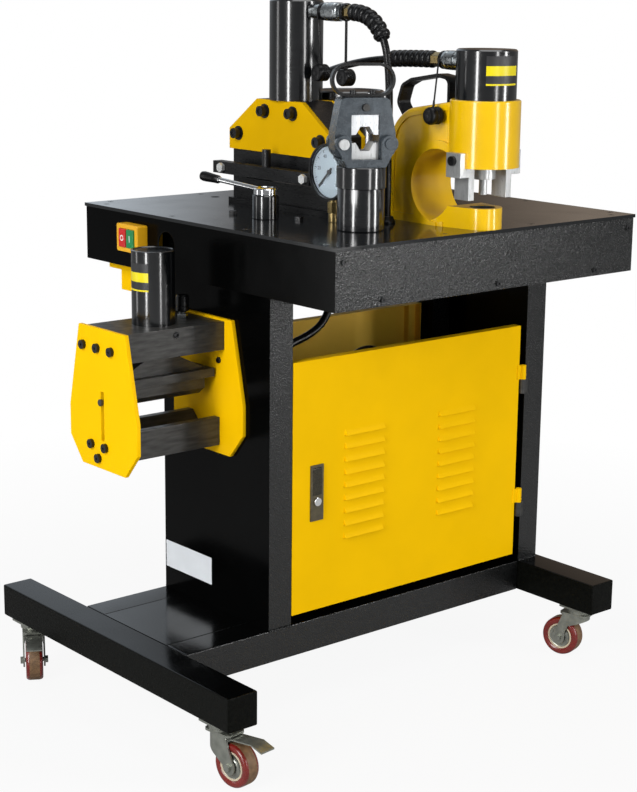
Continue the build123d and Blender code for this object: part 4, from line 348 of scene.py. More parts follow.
def dress(tree, surface, colour, dark, patch, gloss, grain, strength, depth=0.0002, metal=0.0,
          lie=(1, 1, 1), coat=0.0, kind="Noise", specular=0.5, top_specular=None):
    """Gives a surface colour in patches, gloss in smudges and a fine grain in relief."""
    surface.inputs["Metallic"].default_value = metal
    surface.inputs["Coat Weight"].default_value = coat
    surface.inputs["Coat Roughness"].default_value = COAT_ROUGHNESS
    surface.inputs["Specular IOR Level"].default_value = specular
    if top_specular:
        level = spread(tree, facing(tree, "Z"), specular, top_specular, 0.0, 1.0)
        tree.links.new(level, surface.inputs["Specular IOR Level"])
    fine = pattern(tree, grain, lie, kind)
    patches = pattern(tree, patch, tuple(min(step, LONGEST_PATCH) for step in lie))
    tinted = ramp(tree, patches, [(PATCH_START, shade(colour, dark)), (PATCH_END, shade(colour, 1.0))])
    tree.links.new(tinted, surface.inputs["Base Color"])
    smudges = pattern(tree, SMUDGE_DENSITY * patch, lie, detail=5.0)
    tree.links.new(spread(tree, smudges, *gloss), surface.inputs["Roughness"])
    relief(tree, surface, fine, strength, depth)


def new_material(name):
    material = bpy.data.materials.new(name)
    material.use_nodes = True
    return material, material.node_tree, material.node_tree.nodes["Principled BSDF"]


def mix_surfaces(tree, share, first, second):
    """Shows the second shader in place of the first one by a share."""
    mixed = tree.nodes.new("ShaderNodeMixShader")
    tree.links.new(share, mixed.inputs["Fac"])
    tree.links.new(first, mixed.inputs[1])
    tree.links.new(second, mixed.inputs[2])
    tree.links.new(mixed.outputs["Shader"], tree.nodes["Material Output"].inputs["Surface"])


def finish(name, colour, **look):
    """A finish of one kind all over."""
    name = f"{name}_finish"
    if name in bpy.data.materials:
        return bpy.data.materials[name]
    material, tree, surface = new_material(name)
    dress(tree, surface, colour, **look)
    return material


def two_finishes(name, first, second, mask):
    """A finish that turns into a second one where the mask is 1."""
    name = f"{name}_finish"
    if name in bpy.data.materials:
        return bpy.data.materials[name]
    material, tree, surface = new_material(name)
    other = tree.nodes.new("ShaderNodeBsdfPrincipled")
    dress(tree, surface, **first)
    dress(tree, other, **second)
    mix_surfaces(tree, mask(tree), surface.outputs["BSDF"], other.outputs["BSDF"])
    return material


def calculate(tree, operation, first, second):
    node = tree.nodes.new("ShaderNodeMath")
    node.operation = operation
    for socket, value in zip(node.inputs, (first, second)):
        if isinstance(value, float):
            socket.default_value = value
        else:
            tree.links.new(value, socket)
    return node.outputs["Value"]


def facing(tree, axis):
    """How squarely a face looks along an axis, either way."""
    place = tree.nodes.new("ShaderNodeTexCoord")
    split = tree.nodes.new("ShaderNodeSeparateXYZ")
    tree.links.new(place.outputs["Normal"], split.inputs["Vector"])
    return calculate(tree, "ABSOLUTE", split.outputs[axis], 0.0)


def end_faces(tree):
    """Mask of the faces that look along X or up and down."""
    return calculate(tree, "LESS_THAN", facing(tree, "Y"), END_FACE)


def top_faces(tree):
    """Mask of the faces that look up or down."""
    return calculate(tree, "GREATER_THAN", facing(tree, "Z"), TOP_FACE)


def inside_box(low, high, centre=(0, 0, 0), angle=0.0):
    """Mask of what lies in a box in millimetres, turned about Z round its centre."""
    def mask(tree):
        place = tree.nodes.new("ShaderNodeTexCoord")
        mapping = tree.nodes.new("ShaderNodeMapping")
        mapping.vector_type = "TEXTURE"
        mapping.inputs["Location"].default_value = metres(centre)
        mapping.inputs["Rotation"].default_value = (0.0, 0.0, math.radians(angle))
        split = tree.nodes.new("ShaderNodeSeparateXYZ")
        tree.links.new(place.outputs["Object"], mapping.inputs["Vector"])
        tree.links.new(mapping.outputs["Vector"], split.inputs["Vector"])
        inside = None
        for axis, least, most in zip("XYZ", low, high):
            over = calculate(tree, "GREATER_THAN", split.outputs[axis], least * MM)
            under = calculate(tree, "LESS_THAN", split.outputs[axis], most * MM)
            both = calculate(tree, "MULTIPLY", over, under)
            inside = both if inside is None else calculate(tree, "MULTIPLY", inside, both)
        return inside
    return mask


def colours():
    return bpy.context.scene.machine_colours


def enamel_look():
    return dict(colour=colours().yellow, dark=0.94, patch=9, gloss=(0.3, 0.42), grain=420, strength=0.05,
                depth=0.0003, specular=0.02)


def yellow_enamel():
    return finish("yellow_enamel", **enamel_look())


def cutter_yellow():
    return finish("cutter_yellow", (0.62, 0.355, 0.0012), dark=0.92, patch=12, gloss=(0.3, 0.42), grain=420,
                  strength=0.05, depth=0.0003, specular=0.02)


def rear_door_yellow():
    """Enamel outside, and inside a paler, lighter yellow: painted light and painted sheen on the shaded inner
    face.
    """
    low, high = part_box("rear_door")
    inside = inside_box((-FAR, low[1] / MM - 1, 0), (FAR, high[1] / MM - 0.7, FAR))
    # The inner face's paler yellow is painted light: it lightens the shaded inside and adds a painted whitish
    # sheen.
    painted_light_inside = dict(colour=(0.98, 0.62, 0.06), dark=0.9, patch=12, gloss=(0.4, 0.55), grain=420,
                  strength=0.05, depth=0.0003)
    return two_finishes("rear_door_yellow", enamel_look(), painted_light_inside, inside)


def yellow_casting():
    """Enamelled casting, with a bare die bore in the punch anvil."""
    enamel = dict(colour=colours().casting, dark=0.92, patch=14, gloss=(0.26, 0.4), grain=160,
                  strength=0.14, depth=0.0009, specular=0.1, coat=1.0)
    bore = inside_box((-24, -24, 868), (24, 24, 905.5), (*PUNCH_AXIS, 0))
    return two_finishes("yellow_casting", enamel, dark_look(), bore)


def hammered_look():
    return dict(colour=colours().hammer, dark=0.3, patch=190, gloss=(0.22, 0.34), grain=330, strength=0.5,
                depth=0.001, kind="Voronoi")


def smooth_look(top_specular=0.34):
    """Smooth paint that mirrors more on faces that look up."""
    return dict(colour=colours().smooth_black, dark=0.7, patch=7, gloss=(0.12, 0.2), grain=520,
                strength=0.03, specular=0.055, top_specular=top_specular)


def hammered_black():
    return finish("hammered_black", **hammered_look())


def foot_black():
    """Dark fine grain on the sides of the feet, smooth on top."""
    side = dict(colour=(0.0036, 0.004, 0.003), dark=0.3, patch=190, gloss=(0.3, 0.42), grain=420,
                strength=0.45, depth=0.001, kind="Voronoi", specular=0.06)
    return two_finishes("foot_black", side, smooth_look(top_specular=0.14), top_faces)


def frame_black():
    """Hammered on the front and back, smooth on the end faces."""
    return two_finishes("frame_black", hammered_look(), smooth_look(), end_faces)


def table_black():
    return finish("table_black", (0.009, 0.0098, 0.0106), dark=0.8, patch=5, gloss=(0.08, 0.18), grain=380,
                  strength=0.03)


def cylinder_black():
    return finish("cylinder_black", colours().cylinder, dark=0.7, patch=12, gloss=(0.13, 0.2), grain=60,
                  lie=(1, 1, 14), strength=0.03, specular=1.0)


def dark_look():
    return dict(colour=colours().dark_steel, dark=0.5, patch=30, gloss=(0.3, 0.46), metal=0.6, grain=90,
                lie=(1, 1, 12), strength=0.12, specular=0.4)


def dark_steel():
    return finish("dark_steel", **dark_look())


def satin_black():
    return finish("satin_black", (0.006, 0.0062, 0.0066), dark=0.6, patch=35, gloss=(0.24, 0.4), grain=110,
                  lie=(1, 1, 12), strength=0.1, specular=0.3)


def bright_look(colour):
    return dict(colour=colour, dark=0.8, patch=40, gloss=(0.26, 0.42), metal=0.72, grain=80,
                lie=(12, 12, 1), strength=0.08, depth=0.00015)


def bright_steel():
    return finish("bright_steel", **bright_look(colours().bright_steel))


def crimper_steel():
    """Grey yoke with the ground die in its window."""
    grey = dict(colour=colours().grey_steel, dark=0.7, patch=45, gloss=(0.2, 0.34), metal=0.35, grain=900,
                strength=0.14, specular=0.6)
    window = inside_box((-23.7, -40, 1029), (23.7, 40, 1062.9), (*CRIMPER_AXIS, 0), CRIMPER_TURN)
    return two_finishes("crimper_steel", grey, bright_look((0.74, 0.76, 0.78)), window)


def screw_steel():
    """Blackened screws, with the bright bolts of the cutter rail."""
    black = dict(colour=(0.01, 0.01, 0.011), dark=0.6, patch=150, gloss=(0.26, 0.4), metal=0.3, grain=900,
                 strength=0.12)
    rail = inside_box((-92, -80, 925), (-50, 215, 948))
    return two_finishes("screw_steel", black, bright_look((0.85, 0.86, 0.85)), rail)


def lock_bronze():
    return finish("lock_bronze", (0.1, 0.082, 0.045), dark=0.6, patch=90, gloss=(0.28, 0.42), metal=0.3,
                  grain=600, strength=0.1)


def lock_black():
    return finish("lock_black", (0.03, 0.024, 0.01), dark=0.6, patch=90, gloss=(0.2, 0.34), metal=0.2,
                  grain=600, strength=0.1)


def chrome():
    return finish("chrome", (0.78, 0.79, 0.8), dark=0.9, patch=30, gloss=(0.06, 0.14), metal=1.0, grain=200,
                  strength=0.02, depth=0.0001)


def zinc():
    return finish("zinc", colours().zinc, dark=0.72, patch=70, gloss=(0.28, 0.42), metal=0.8, grain=260,
                  strength=0.1, kind="Voronoi")


def bright_zinc():
    return finish("bright_zinc", (0.5, 0.53, 0.54), dark=0.7, patch=80, gloss=(0.16, 0.3), metal=1.0,
                  grain=400, strength=0.05, depth=0.0001)


def brass():
    return finish("brass", (0.36, 0.27, 0.12), dark=0.6, patch=90, gloss=(0.25, 0.4), metal=1.0, grain=500,
                  strength=0.08, depth=0.0001)


def rubber():
    return finish("black_rubber", colours().rubber, dark=0.75, patch=60, gloss=(0.24, 0.38), grain=1200,
                  strength=0.1, specular=0.26)


def tyre_red():
    return finish("tyre_red", colours().tyre, dark=0.75, patch=60, gloss=(0.2, 0.34), grain=600,
                  strength=0.06, coat=0.2)


def tread_tan():
    return finish("tread_tan", colours().tread, dark=0.55, patch=110, gloss=(0.5, 0.7), grain=900,
                  strength=0.3, depth=0.0004)


def cream_ring():
    return finish("cream_ring", (0.55, 0.47, 0.34), dark=0.8, patch=90, gloss=(0.4, 0.55), grain=900,
                  strength=0.1)


def yellow_plastic():
    return finish("yellow_plastic", (0.72, 0.37, 0.006), dark=0.93, patch=30, gloss=(0.32, 0.42),
                  grain=1500, strength=0.1)


def red_key():
    return finish("red_key", (0.5, 0.012, 0.012), dark=0.9, patch=40, gloss=(0.24, 0.34), grain=1200,
                  strength=0.06)


def green_key():
    return finish("green_key", (0.01, 0.2, 0.06), dark=0.9, patch=40, gloss=(0.24, 0.34), grain=1200,
                  strength=0.06)


def white_mark():
    return finish("white_mark", (0.8, 0.8, 0.78), dark=0.92, patch=50, gloss=(0.4, 0.5), grain=900,
                  strength=0.05, depth=0.0001)


def black_mark():
    return finish("black_mark", (0.015, 0.015, 0.016), dark=0.9, patch=50, gloss=(0.4, 0.5), grain=900,
                  strength=0.05, depth=0.0001)


def dial_face():
    return finish("dial_face", colours().dial, dark=0.93, patch=20, gloss=(0.35, 0.45), grain=900,
                  strength=0.03, depth=0.0001)


def band_yellow():
    return finish("band_yellow", (0.72, 0.6, 0.01), dark=0.9, patch=40, gloss=(0.3, 0.4), grain=900,
                  strength=0.03, depth=0.0001, specular=0.3)


def plate_silver():
    return finish("plate_silver", (0.72, 0.75, 0.78), dark=0.92, patch=25, gloss=(0.3, 0.42), grain=500,
                  strength=0.06, depth=0.0001)


def glass():
    """Clear lens of the gauge, with a faint film of dust."""
    if "lens_glass_finish" in bpy.data.materials:
        return bpy.data.materials["lens_glass_finish"]
    material = finish("lens_glass", (0.97, 0.98, 0.98), dark=0.99, patch=30, gloss=(0.02, 0.07), grain=300,
                      strength=0.01, depth=0.0001)
    surface = material.node_tree.nodes["Principled BSDF"]
    surface.inputs["Transmission Weight"].default_value = 1.0
    surface.inputs["IOR"].default_value = 1.2
    return material


def round_edges(shape):
    """Shades faces smoothly, apart from open edges and those where faces meet at a plain angle."""
    for face in shape.faces:
        face.smooth = True
    for edge in shape.edges:
        edge.smooth = edge.calc_face_angle(math.pi) < SMOOTH_EDGE


def even_normals(piece):
    """Lets the large faces set the shading beside narrow rounded edges."""
    even = piece.modifiers.new("even_normals", "WEIGHTED_NORMAL")
    even.keep_sharp = True


def make_piece(name, shape, finishes, body, stands_for=(), edge=0.0):
    """Turns a finished bmesh into a piece that rides on a body."""
    bmesh.ops.remove_doubles(shape, verts=shape.verts, dist=MERGE)
    bmesh.ops.recalc_face_normals(shape, faces=shape.faces)
    if edge:
        sharp = [line for line in shape.edges if line.calc_face_angle(0.0) > SHARP_EDGE]
        bmesh.ops.bevel(shape, geom=sharp, offset=edge, offset_type="OFFSET", segments=2, profile=0.5,
                        affect="EDGES", material=-1, clamp_overlap=True)
    round_edges(shape)
    mesh = bpy.data.meshes.new(name)
    shape.to_mesh(mesh)
    shape.free()
    for material in finishes:
        mesh.materials.append(material)
    piece = bpy.data.objects.new(name, mesh)
    bpy.context.scene.collection.objects.link(piece)
    if edge:
        even_normals(piece)
    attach(piece, body)
    if stands_for:
        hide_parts(*stands_for)
    return piece


def metres(point):
    return Vector(point) * MM


def aimed(place, heading, along="Z", up="Y"):
    """Sets a shape at a place with one of its axes along a heading."""
    return Matrix.Translation(place) @ heading.to_track_quat(along, up).to_matrix().to_4x4()


def set_finish(verts, finish_index):
    """Gives the faces round some vertices one of the piece's finishes."""
    for vert in verts:
        for face in vert.link_faces:
            face.material_index = finish_index


def turn(shape, profile, origin, axis, steps=48, finish_index=0):
    """Spins a profile of (radius, along) points, in millimetres, round an axis through the origin."""
    axis = Vector(axis).normalized()
    centre = metres(origin)
    side = axis.orthogonal().normalized()
    before = set(shape.faces)
    ring = [shape.verts.new(centre + side * radius * MM + axis * along * MM) for radius, along in profile]
    lines = [shape.edges.new(pair) for pair in zip(ring, ring[1:])]
    bmesh.ops.spin(shape, geom=ring + lines, cent=centre, axis=axis, angle=math.tau, steps=steps,
                   use_merge=True)
    bmesh.ops.remove_doubles(shape, verts=shape.verts, dist=MERGE)
    for face in shape.faces:
        if face not in before:
            face.material_index = finish_index


def slab(shape, low, high, finish_index=0, place=None):
    """A block between two corners in millimetres, turned by place if it is given."""
    middle = (Vector(low) + Vector(high)) / 2 * MM
    size = (Vector(high) - Vector(low)) * MM
    matrix = Matrix.Translation(middle) @ Matrix.Diagonal((*size, 1.0))
    made = bmesh.ops.create_cube(shape, size=1.0, matrix=(place or Matrix.Identity(4)) @ matrix)
    set_finish(made["verts"], finish_index)


def hexagon(shape, origin, axis, radius, length):
    """A six-sided bar along an axis from the origin, in millimetres."""
    axis = Vector(axis).normalized()
    matrix = aimed(metres(origin) + axis * length * MM / 2, axis)
    bmesh.ops.create_cone(shape, cap_ends=True, segments=6, radius1=radius * MM, radius2=radius * MM,
                          depth=length * MM, matrix=matrix)


def hose_curve(name, route, diameter):
    """A hose on one smooth curve with the route's points as its control points."""
    curve = bpy.data.curves.new(name, "CURVE")
    curve.dimensions = "3D"
    spline = curve.splines.new("NURBS")
    spline.points.add(len(route) - 1)
    for point, place in zip(spline.points, route):
        point.co = (*metres(place), 1.0)
    spline.order_u = 3
    spline.use_endpoint_u = True
    spline.resolution_u = 12
    curve.bevel_depth = diameter / 2
    curve.bevel_resolution = 6
    curve.use_fill_caps = True
    curve.materials.append(rubber())
    hose = bpy.data.objects.new(name, curve)
    bpy.context.scene.collection.objects.link(hose)
    return hose


def hose_line(route):
    """Points along the smooth curve of a route."""
    bare = hose_curve("bare_line", route, 0.0)
    bpy.context.view_layer.update()
    mesh = bpy.data.meshes.new_from_object(bare)
    points = [vert.co.copy() for vert in mesh.vertices]
    bpy.data.meshes.remove(mesh)
    bpy.data.curves.remove(bare.data)
    return points


def along_line(points, distance):
    """Place and heading on a line of points at a distance from its start."""
    for start, end in zip(points, points[1:]):
        step = (end - start).length
        if distance <= step or end == points[-1]:
            heading = (end - start).normalized()
            return start + heading * distance, heading
        distance -= step


def ribbed_sleeve(name, points, length, ribs, radius, inner):
    """A ribbed guard round the start of a hose: rings bridged one to the next."""
    shape = bmesh.new()
    pitch = length * MM / ribs
    rings = [(0.0, 0.78), (0.1, 0.9), (0.25, 0.985), (0.42, 1.0), (0.6, 0.985), (0.75, 0.9), (0.86, 0.78)]
    stops = [(pitch * (rib + share), radius * size) for rib in range(ribs) for share, size in rings]
    stops = [(0.0, inner)] + stops + [(length * MM, radius * 0.8), (length * MM, inner)]
    loops = []
    for distance, size in stops:
        place, heading = along_line(points, distance)
        matrix = aimed(place, heading, up="X")
        made = bmesh.ops.create_circle(shape, segments=32, radius=size, matrix=matrix)["verts"]
        loops.append(list({edge for vert in made for edge in vert.link_edges}))
    for first, second in zip(loops, loops[1:]):
        bmesh.ops.bridge_loops(shape, edges=first + second)
    return make_piece(name, shape, [rubber()], "stand", ["bend_guards"])


class BUSBAR_OT_stage(Operator):
    """Camera, floor, room and lamps"""

    bl_idname = "busbar.stage"
    bl_label = "Stage"

    def execute(self, context):
        stage = context.scene.machine_stage
        heading, pitch, roll = (math.radians(angle) for angle in CAMERA_ANGLES)
        level = math.cos(pitch)
        look = Vector((math.sin(heading) * level, math.cos(heading) * level, -math.sin(pitch)))
        right = Vector((math.cos(heading), -math.sin(heading), 0.0))
        up = right.cross(look)
        across = right * math.cos(roll) + up * math.sin(roll)
        upright = up * math.cos(roll) - right * math.sin(roll)
        lens = bpy.data.cameras.new("camera")
        lens.sensor_fit = "VERTICAL"
        lens.sensor_height = SENSOR_HEIGHT
        lens.lens = CAMERA_LENS
        lens.clip_end = CLIP_END
        camera = bpy.data.objects.new("camera", lens)
        turned = Matrix((across, upright, -look)).transposed().to_4x4()
        camera.matrix_world = Matrix.Translation(CAMERA_PLACE) @ turned
        context.scene.collection.objects.link(camera)
        context.scene.camera = camera
        context.scene.view_settings.view_transform = "Standard"
        self.lay_floor(context)
        self.light_room(context, stage)
        for name, setting, share, place, size in LAMPS:
            self.hang_lamp(context, name, share * getattr(stage, setting), place, size)
        return {"FINISHED"}

    def lay_floor(self, context):
        shape = bmesh.new()
        bmesh.ops.create_grid(shape, x_segments=2, y_segments=2, size=FLOOR_HALF)
        mesh = bpy.data.meshes.new("floor")
        shape.to_mesh(mesh)
        shape.free()
        material, tree, surface = new_material("pale_floor")
        surface.inputs["Base Color"].default_value = FLOOR_GREY
        surface.inputs["Roughness"].default_value = FLOOR_ROUGHNESS
        glow = tree.nodes.new("ShaderNodeEmission")
        glow.inputs["Color"].default_value = WHITE
        place = tree.nodes.new("ShaderNodeTexCoord")
        reach = tree.nodes.new("ShaderNodeVectorMath")
        reach.operation = "LENGTH"
        tree.links.new(place.outputs["Object"], reach.inputs[0])
        glowing = spread(tree, reach.outputs["Value"], *FLOOR_WHITE, *FLOOR_WHITE_REACH)
        share = calculate(tree, "MULTIPLY", self.background_rays(tree, FLOOR_MIRRORED), glowing)
        mix_surfaces(tree, share, surface.outputs["BSDF"], glow.outputs["Emission"])
        mesh.materials.append(material)
        floor = bpy.data.objects.new("floor", mesh)
        context.scene.collection.objects.link(floor)

    def light_room(self, context, stage):
        world = bpy.data.worlds.new("room")
        context.scene.world = world
        world.use_nodes = True
        tree = world.node_tree
        background = tree.nodes["Background"]
        place = tree.nodes.new("ShaderNodeTexCoord")
        split = tree.nodes.new("ShaderNodeSeparateXYZ")
        tree.links.new(place.outputs["Generated"], split.inputs["Vector"])
        behind = self.weigh(tree, split, LOOK_X, LOOK_Y)
        aside = self.weigh(tree, split, LOOK_Y, -LOOK_X)
        wall = ramp(tree, spread(tree, aside, 0.0, 1.0, *WALL_SIDES), WALL_COLOURS)
        room = self.mix_colours(tree, spread(tree, behind, 0.0, 1.0, *WALL_DEPTH), ROOM_FRONT, wall)
        seen = self.mix_colours(tree, self.background_rays(tree, ROOM_MIRRORED), room, WHITE)
        tree.links.new(seen, background.inputs["Color"])
        background.inputs["Strength"].default_value = stage.sky

    def weigh(self, tree, split, of_x, of_y):
        """How far a direction points along a level heading."""
        first = calculate(tree, "MULTIPLY", split.outputs["X"], of_x)
        return calculate(tree, "ADD", first, calculate(tree, "MULTIPLY", split.outputs["Y"], of_y))

    def mix_colours(self, tree, share, first, second):
        """Turns the first colour into the second one by a share."""
        node = tree.nodes.new("ShaderNodeMix")
        node.data_type = "RGBA"
        share_socket, first_socket, second_socket = node.inputs[0], node.inputs[6], node.inputs[7]
        tree.links.new(share, share_socket)
        for socket, colour in ((first_socket, first), (second_socket, second)):
            if isinstance(colour, tuple):
                socket.default_value = colour
            else:
                tree.links.new(colour, socket)
        return node.outputs[2]

    def background_rays(self, tree, mirrored):
        """Rays that see white: the camera's, those through glass, and a share of mirrored ones."""
        rays = tree.nodes.new("ShaderNodeLightPath").outputs
        seen = calculate(tree, "MAXIMUM", rays["Is Camera Ray"], rays["Is Transmission Ray"])
        glossy = calculate(tree, "MULTIPLY", rays["Is Glossy Ray"], mirrored)
        return calculate(tree, "MAXIMUM", seen, glossy)

    def hang_lamp(self, context, name, power, place, size):
        light = bpy.data.lights.new(name, "AREA")
        light.shape = "RECTANGLE"
        light.size, light.size_y = size
        light.energy = power
        lamp = bpy.data.objects.new(name, light)
        lamp.matrix_world = aimed(place, Vector(LAMP_AIM) - Vector(place), along="-Z")
        context.scene.collection.objects.link(lamp)


class BUSBAR_OT_hoses(Operator):
    """Hoses with their ribbed guards"""

    bl_idname = "busbar.hoses"
    bl_label = "Hoses and Guards"

    def execute(self, context):
        sizes = context.scene.machine_sizes
        runs = [
            ("cutter_hose_line", "cutter_hose", CUTTER_ROUTE, sizes.hose, CUTTER_GUARD, sizes.cutter_ribs),
            ("punch_hose_line", "punch_hose", PUNCH_ROUTE, sizes.hose, PUNCH_GUARD, sizes.punch_ribs),
            ("cabinet_hose_line", "cabinet_hose", CABINET_ROUTE, sizes.cabinet_hose, 0.0, 0),
        ]
        for name, node, route, diameter, guard_length, ribs in runs:
            points = hose_line(route)
            hose = hose_curve(name, route, diameter)
            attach(hose, "stand")
            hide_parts(node)
            guards = []
            if ribs:
                inner = diameter / 2 + GUARD_PLAY * MM
                guards = [ribbed_sleeve(f"{node}_guard", points, guard_length, ribs, sizes.guard, inner)]
        return {"FINISHED"}


class BUSBAR_OT_couplers(Operator):
    """Quick couplers, the bender's nipple and the gauge's stem"""

    bl_idname = "busbar.couplers"
    bl_label = "Couplers"

    def execute(self, context):
        self.couple("cutter_coupler", CUTTER_PORT, -1, CUTTER_COUPLER)
        self.couple("punch_coupler", PUNCH_PORT, 1, PUNCH_COUPLER)
        self.nipple()
        self.gauge_stem()
        return {"FINISHED"}

    def couple(self, name, port, away, length):
        """A plug on the port, a grooved sleeve over its nose and a nut on the hose."""
        shape = bmesh.new()
        axis = (0, away, 0)
        nose = length - COUPLER_SLEEVE
        plug = [(0, -6), (12, -6), (12, nose - 7), (13, nose - 6), (13, nose), (12, nose + 0.5)]
        turn(shape, plug, port, axis)
        sleeve = [
            (12, 0), (15, 0), (16, 1), (16, 8), (14.4, 9.2), (14.4, 12), (16.5, 13), (16.5, 28), (15, 29.2),
            (15, 31.4), (16.2, 32.5), (16.2, 38), (15, 40), (11.5, 40), (11.5, 47), (0, 47),
        ]
        turn(shape, [(radius, nose + along) for radius, along in sleeve], port, axis)
        make_piece(f"{name}_body", shape, [bright_zinc()], "stand", ["fittings"])
        nut = bmesh.new()
        nut_start = nose + 46
        start = (port[0], port[1] + away * nut_start, port[2])
        hexagon(nut, start, axis, 12.8, length - nut_start)
        make_piece(f"{name}_nut", nut, [brass()], "stand", ["fittings"], edge=0.0008)

    def nipple(self):
        shape = bmesh.new()
        hexagon(shape, NIPPLE, (0, 0, 1), 9.4, 8)
        neck = [(0, 8), (6.5, 8), (6.5, 11), (8.4, 12), (8.4, 14), (6.8, 15.5), (6.8, 18), (0, 18)]
        turn(shape, neck, NIPPLE, (0, 0, 1))
        finishes = [bright_zinc()]
        make_piece("bender_nipple", shape, finishes, "stand", ["fittings"], edge=0.0006)

    def gauge_stem(self):
        low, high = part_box("gauge_case")
        x, y, bottom = (low.x + high.x) / 2 / MM, (low.y + high.y) / 2 / MM, low.z / MM
        shape = bmesh.new()
        stem = [
            (0, TABLE_TOP), (8.2, TABLE_TOP), (8.2, bottom - 24), (7, bottom - 23), (7, bottom + 2),
            (0, bottom + 2),
        ]
        turn(shape, stem, (x, y, 0), (0, 0, 1))
        hexagon(shape, (x, y, bottom - 22), (0, 0, 1), 9.5, 19)
        make_piece("gauge_stem_nut", shape, [brass()], "stand", ["fittings"], edge=0.0006)


class BUSBAR_OT_caps(Operator):
    """Dust caps on their straps, and the grommets in the table"""

    bl_idname = "busbar.caps"
    bl_label = "Rubber Caps"

    def execute(self, context):
        for index, route in enumerate((CUTTER_ROUTE, PUNCH_ROUTE)):
            x, y, _ = route[-1]
            self.grommet(index, x, y)
        self.hang_cap("cutter_plug_cap", (8, -11.5, 1225), 106, -8)
        self.hang_cap("cutter_socket_cap", (8, -70.5, 1225), 112, 0)
        self.hang_cap("punch_plug_cap", (98, -225.5, 1148), 90, -62, -39)
        shape = bmesh.new()
        top = (NIPPLE[0], NIPPLE[1], NIPPLE[2] + 18)
        profile = [
            (0, -6), (9.6, -6), (11.5, -4.5), (11.5, 2), (10.6, 3), (11.5, 4), (11.5, 20), (9.5, 23), (0, 24),
        ]
        turn(shape, profile, top, (0, 0, 1))
        make_piece("bender_cap", shape, [rubber()], "stand", ["rubber_caps"])
        return {"FINISHED"}

    def grommet(self, index, x, y):
        shape = bmesh.new()
        profile = [
            (6.6, -6), (10, -6), (10, 0), (14.2, 0), (15, 1), (15, 4), (12.5, 6.5), (11, 11), (10, 12),
            (6.6, 12), (6.6, -6),
        ]
        turn(shape, profile, (x, y, TABLE_TOP), (0, 0, 1))
        make_piece(f"hose_grommet_{index}", shape, [rubber()], "stand", ["rubber_caps"])

    def hang_cap(self, name, hub, drop, lean, drift=0):
        """A ring round the coupler, a flat strap and a cap with a grooved side."""
        shape = bmesh.new()
        ring = [(0.1, -3.5), (2.0, -3.5), (2.5, -2.6), (2.5, 2.6), (2.0, 3.5), (0.1, 3.5), (0.1, -3.5)]
        turn(shape, [(COUPLER_R + proud, along) for proud, along in ring], hub, (0, 1, 0))
        cap = (hub[0] + lean, hub[1] + drift, hub[2] - drop)
        profile = [
            (0, -11), (4, -11.4), (4.6, -12), (10.5, -12), (13.6, -10.6), (15, -7.5), (15, -2), (13.8, -1),
            (13.8, 0.4), (15, 1.4), (15, 3.4), (13.8, 4.4), (13.8, 5.8), (15, 6.8), (15, 11), (14, 12),
            (0, 12),
        ]
        turn(shape, profile, cap, (1, 0, 0))
        side = math.copysign(COUPLER_R + 1.5, lean) if lean else 0.0
        top = Vector((hub[0] + side, hub[1], hub[2] if lean else hub[2] - COUPLER_R - 1))
        run = Vector((cap[0], cap[1], cap[2] + 12)) - top
        matrix = aimed(top * MM, run)
        slab(shape, (-1.2, -2.6, 0), (1.2, 2.6, run.length), place=matrix)
        slab(shape, (-1.6, -4.2, run.length - 14), (1.6, 4.2, run.length), place=matrix)
        make_piece(name, shape, [rubber()], "stand", ["rubber_caps"], edge=0.0005)


class BUSBAR_OT_wheels(Operator):
    """Caster wheels with hub, ring, red sides and worn tread"""

    bl_idname = "busbar.wheels"
    bl_label = "Caster Wheels"

    def execute(self, context):
        hub = [(4.1, 15.8), (7.5, 15.8), (8.5, 14.6), (13.5, 14.6), (15, 13.2), (19.5, 12.4), (21.5, 13.2)]
        ring = [(21.5, 13.2), (22.5, 14.2), (24.6, 14.2), (25.2, 13.6)]
        side = [(25.2, 13.6), (26.5, 14.6), (30, 15.6), (33.2, 15.6), (35.4, 14.4), (36.9, 12), (37.4, 9.5)]
        tread = [(37.4, 9.5), (37.5, 8.5), (37.5, 0)]
        for name, (x, y, heading) in CASTERS.items():
            angle = math.radians(heading)
            centre = (x + TRAIL * math.cos(angle), y + TRAIL * math.sin(angle), WHEEL_R)
            axle = Vector((-math.sin(angle), math.cos(angle), 0))
            shape = bmesh.new()
            for way in (axle, -axle):
                for index, band in enumerate((hub, ring, side, tread)):
                    turn(shape, band, centre, way, steps=64, finish_index=index)
            turn(shape, [(4.1, 15.8), (4.1, -15.8)], centre, axle, steps=64)
            finishes = [zinc(), cream_ring(), tyre_red(), tread_tan()]
            wheel = f"wheel_{name}"
            make_piece(f"caster_{wheel}", shape, finishes, wheel, [wheel])
        return {"FINISHED"}


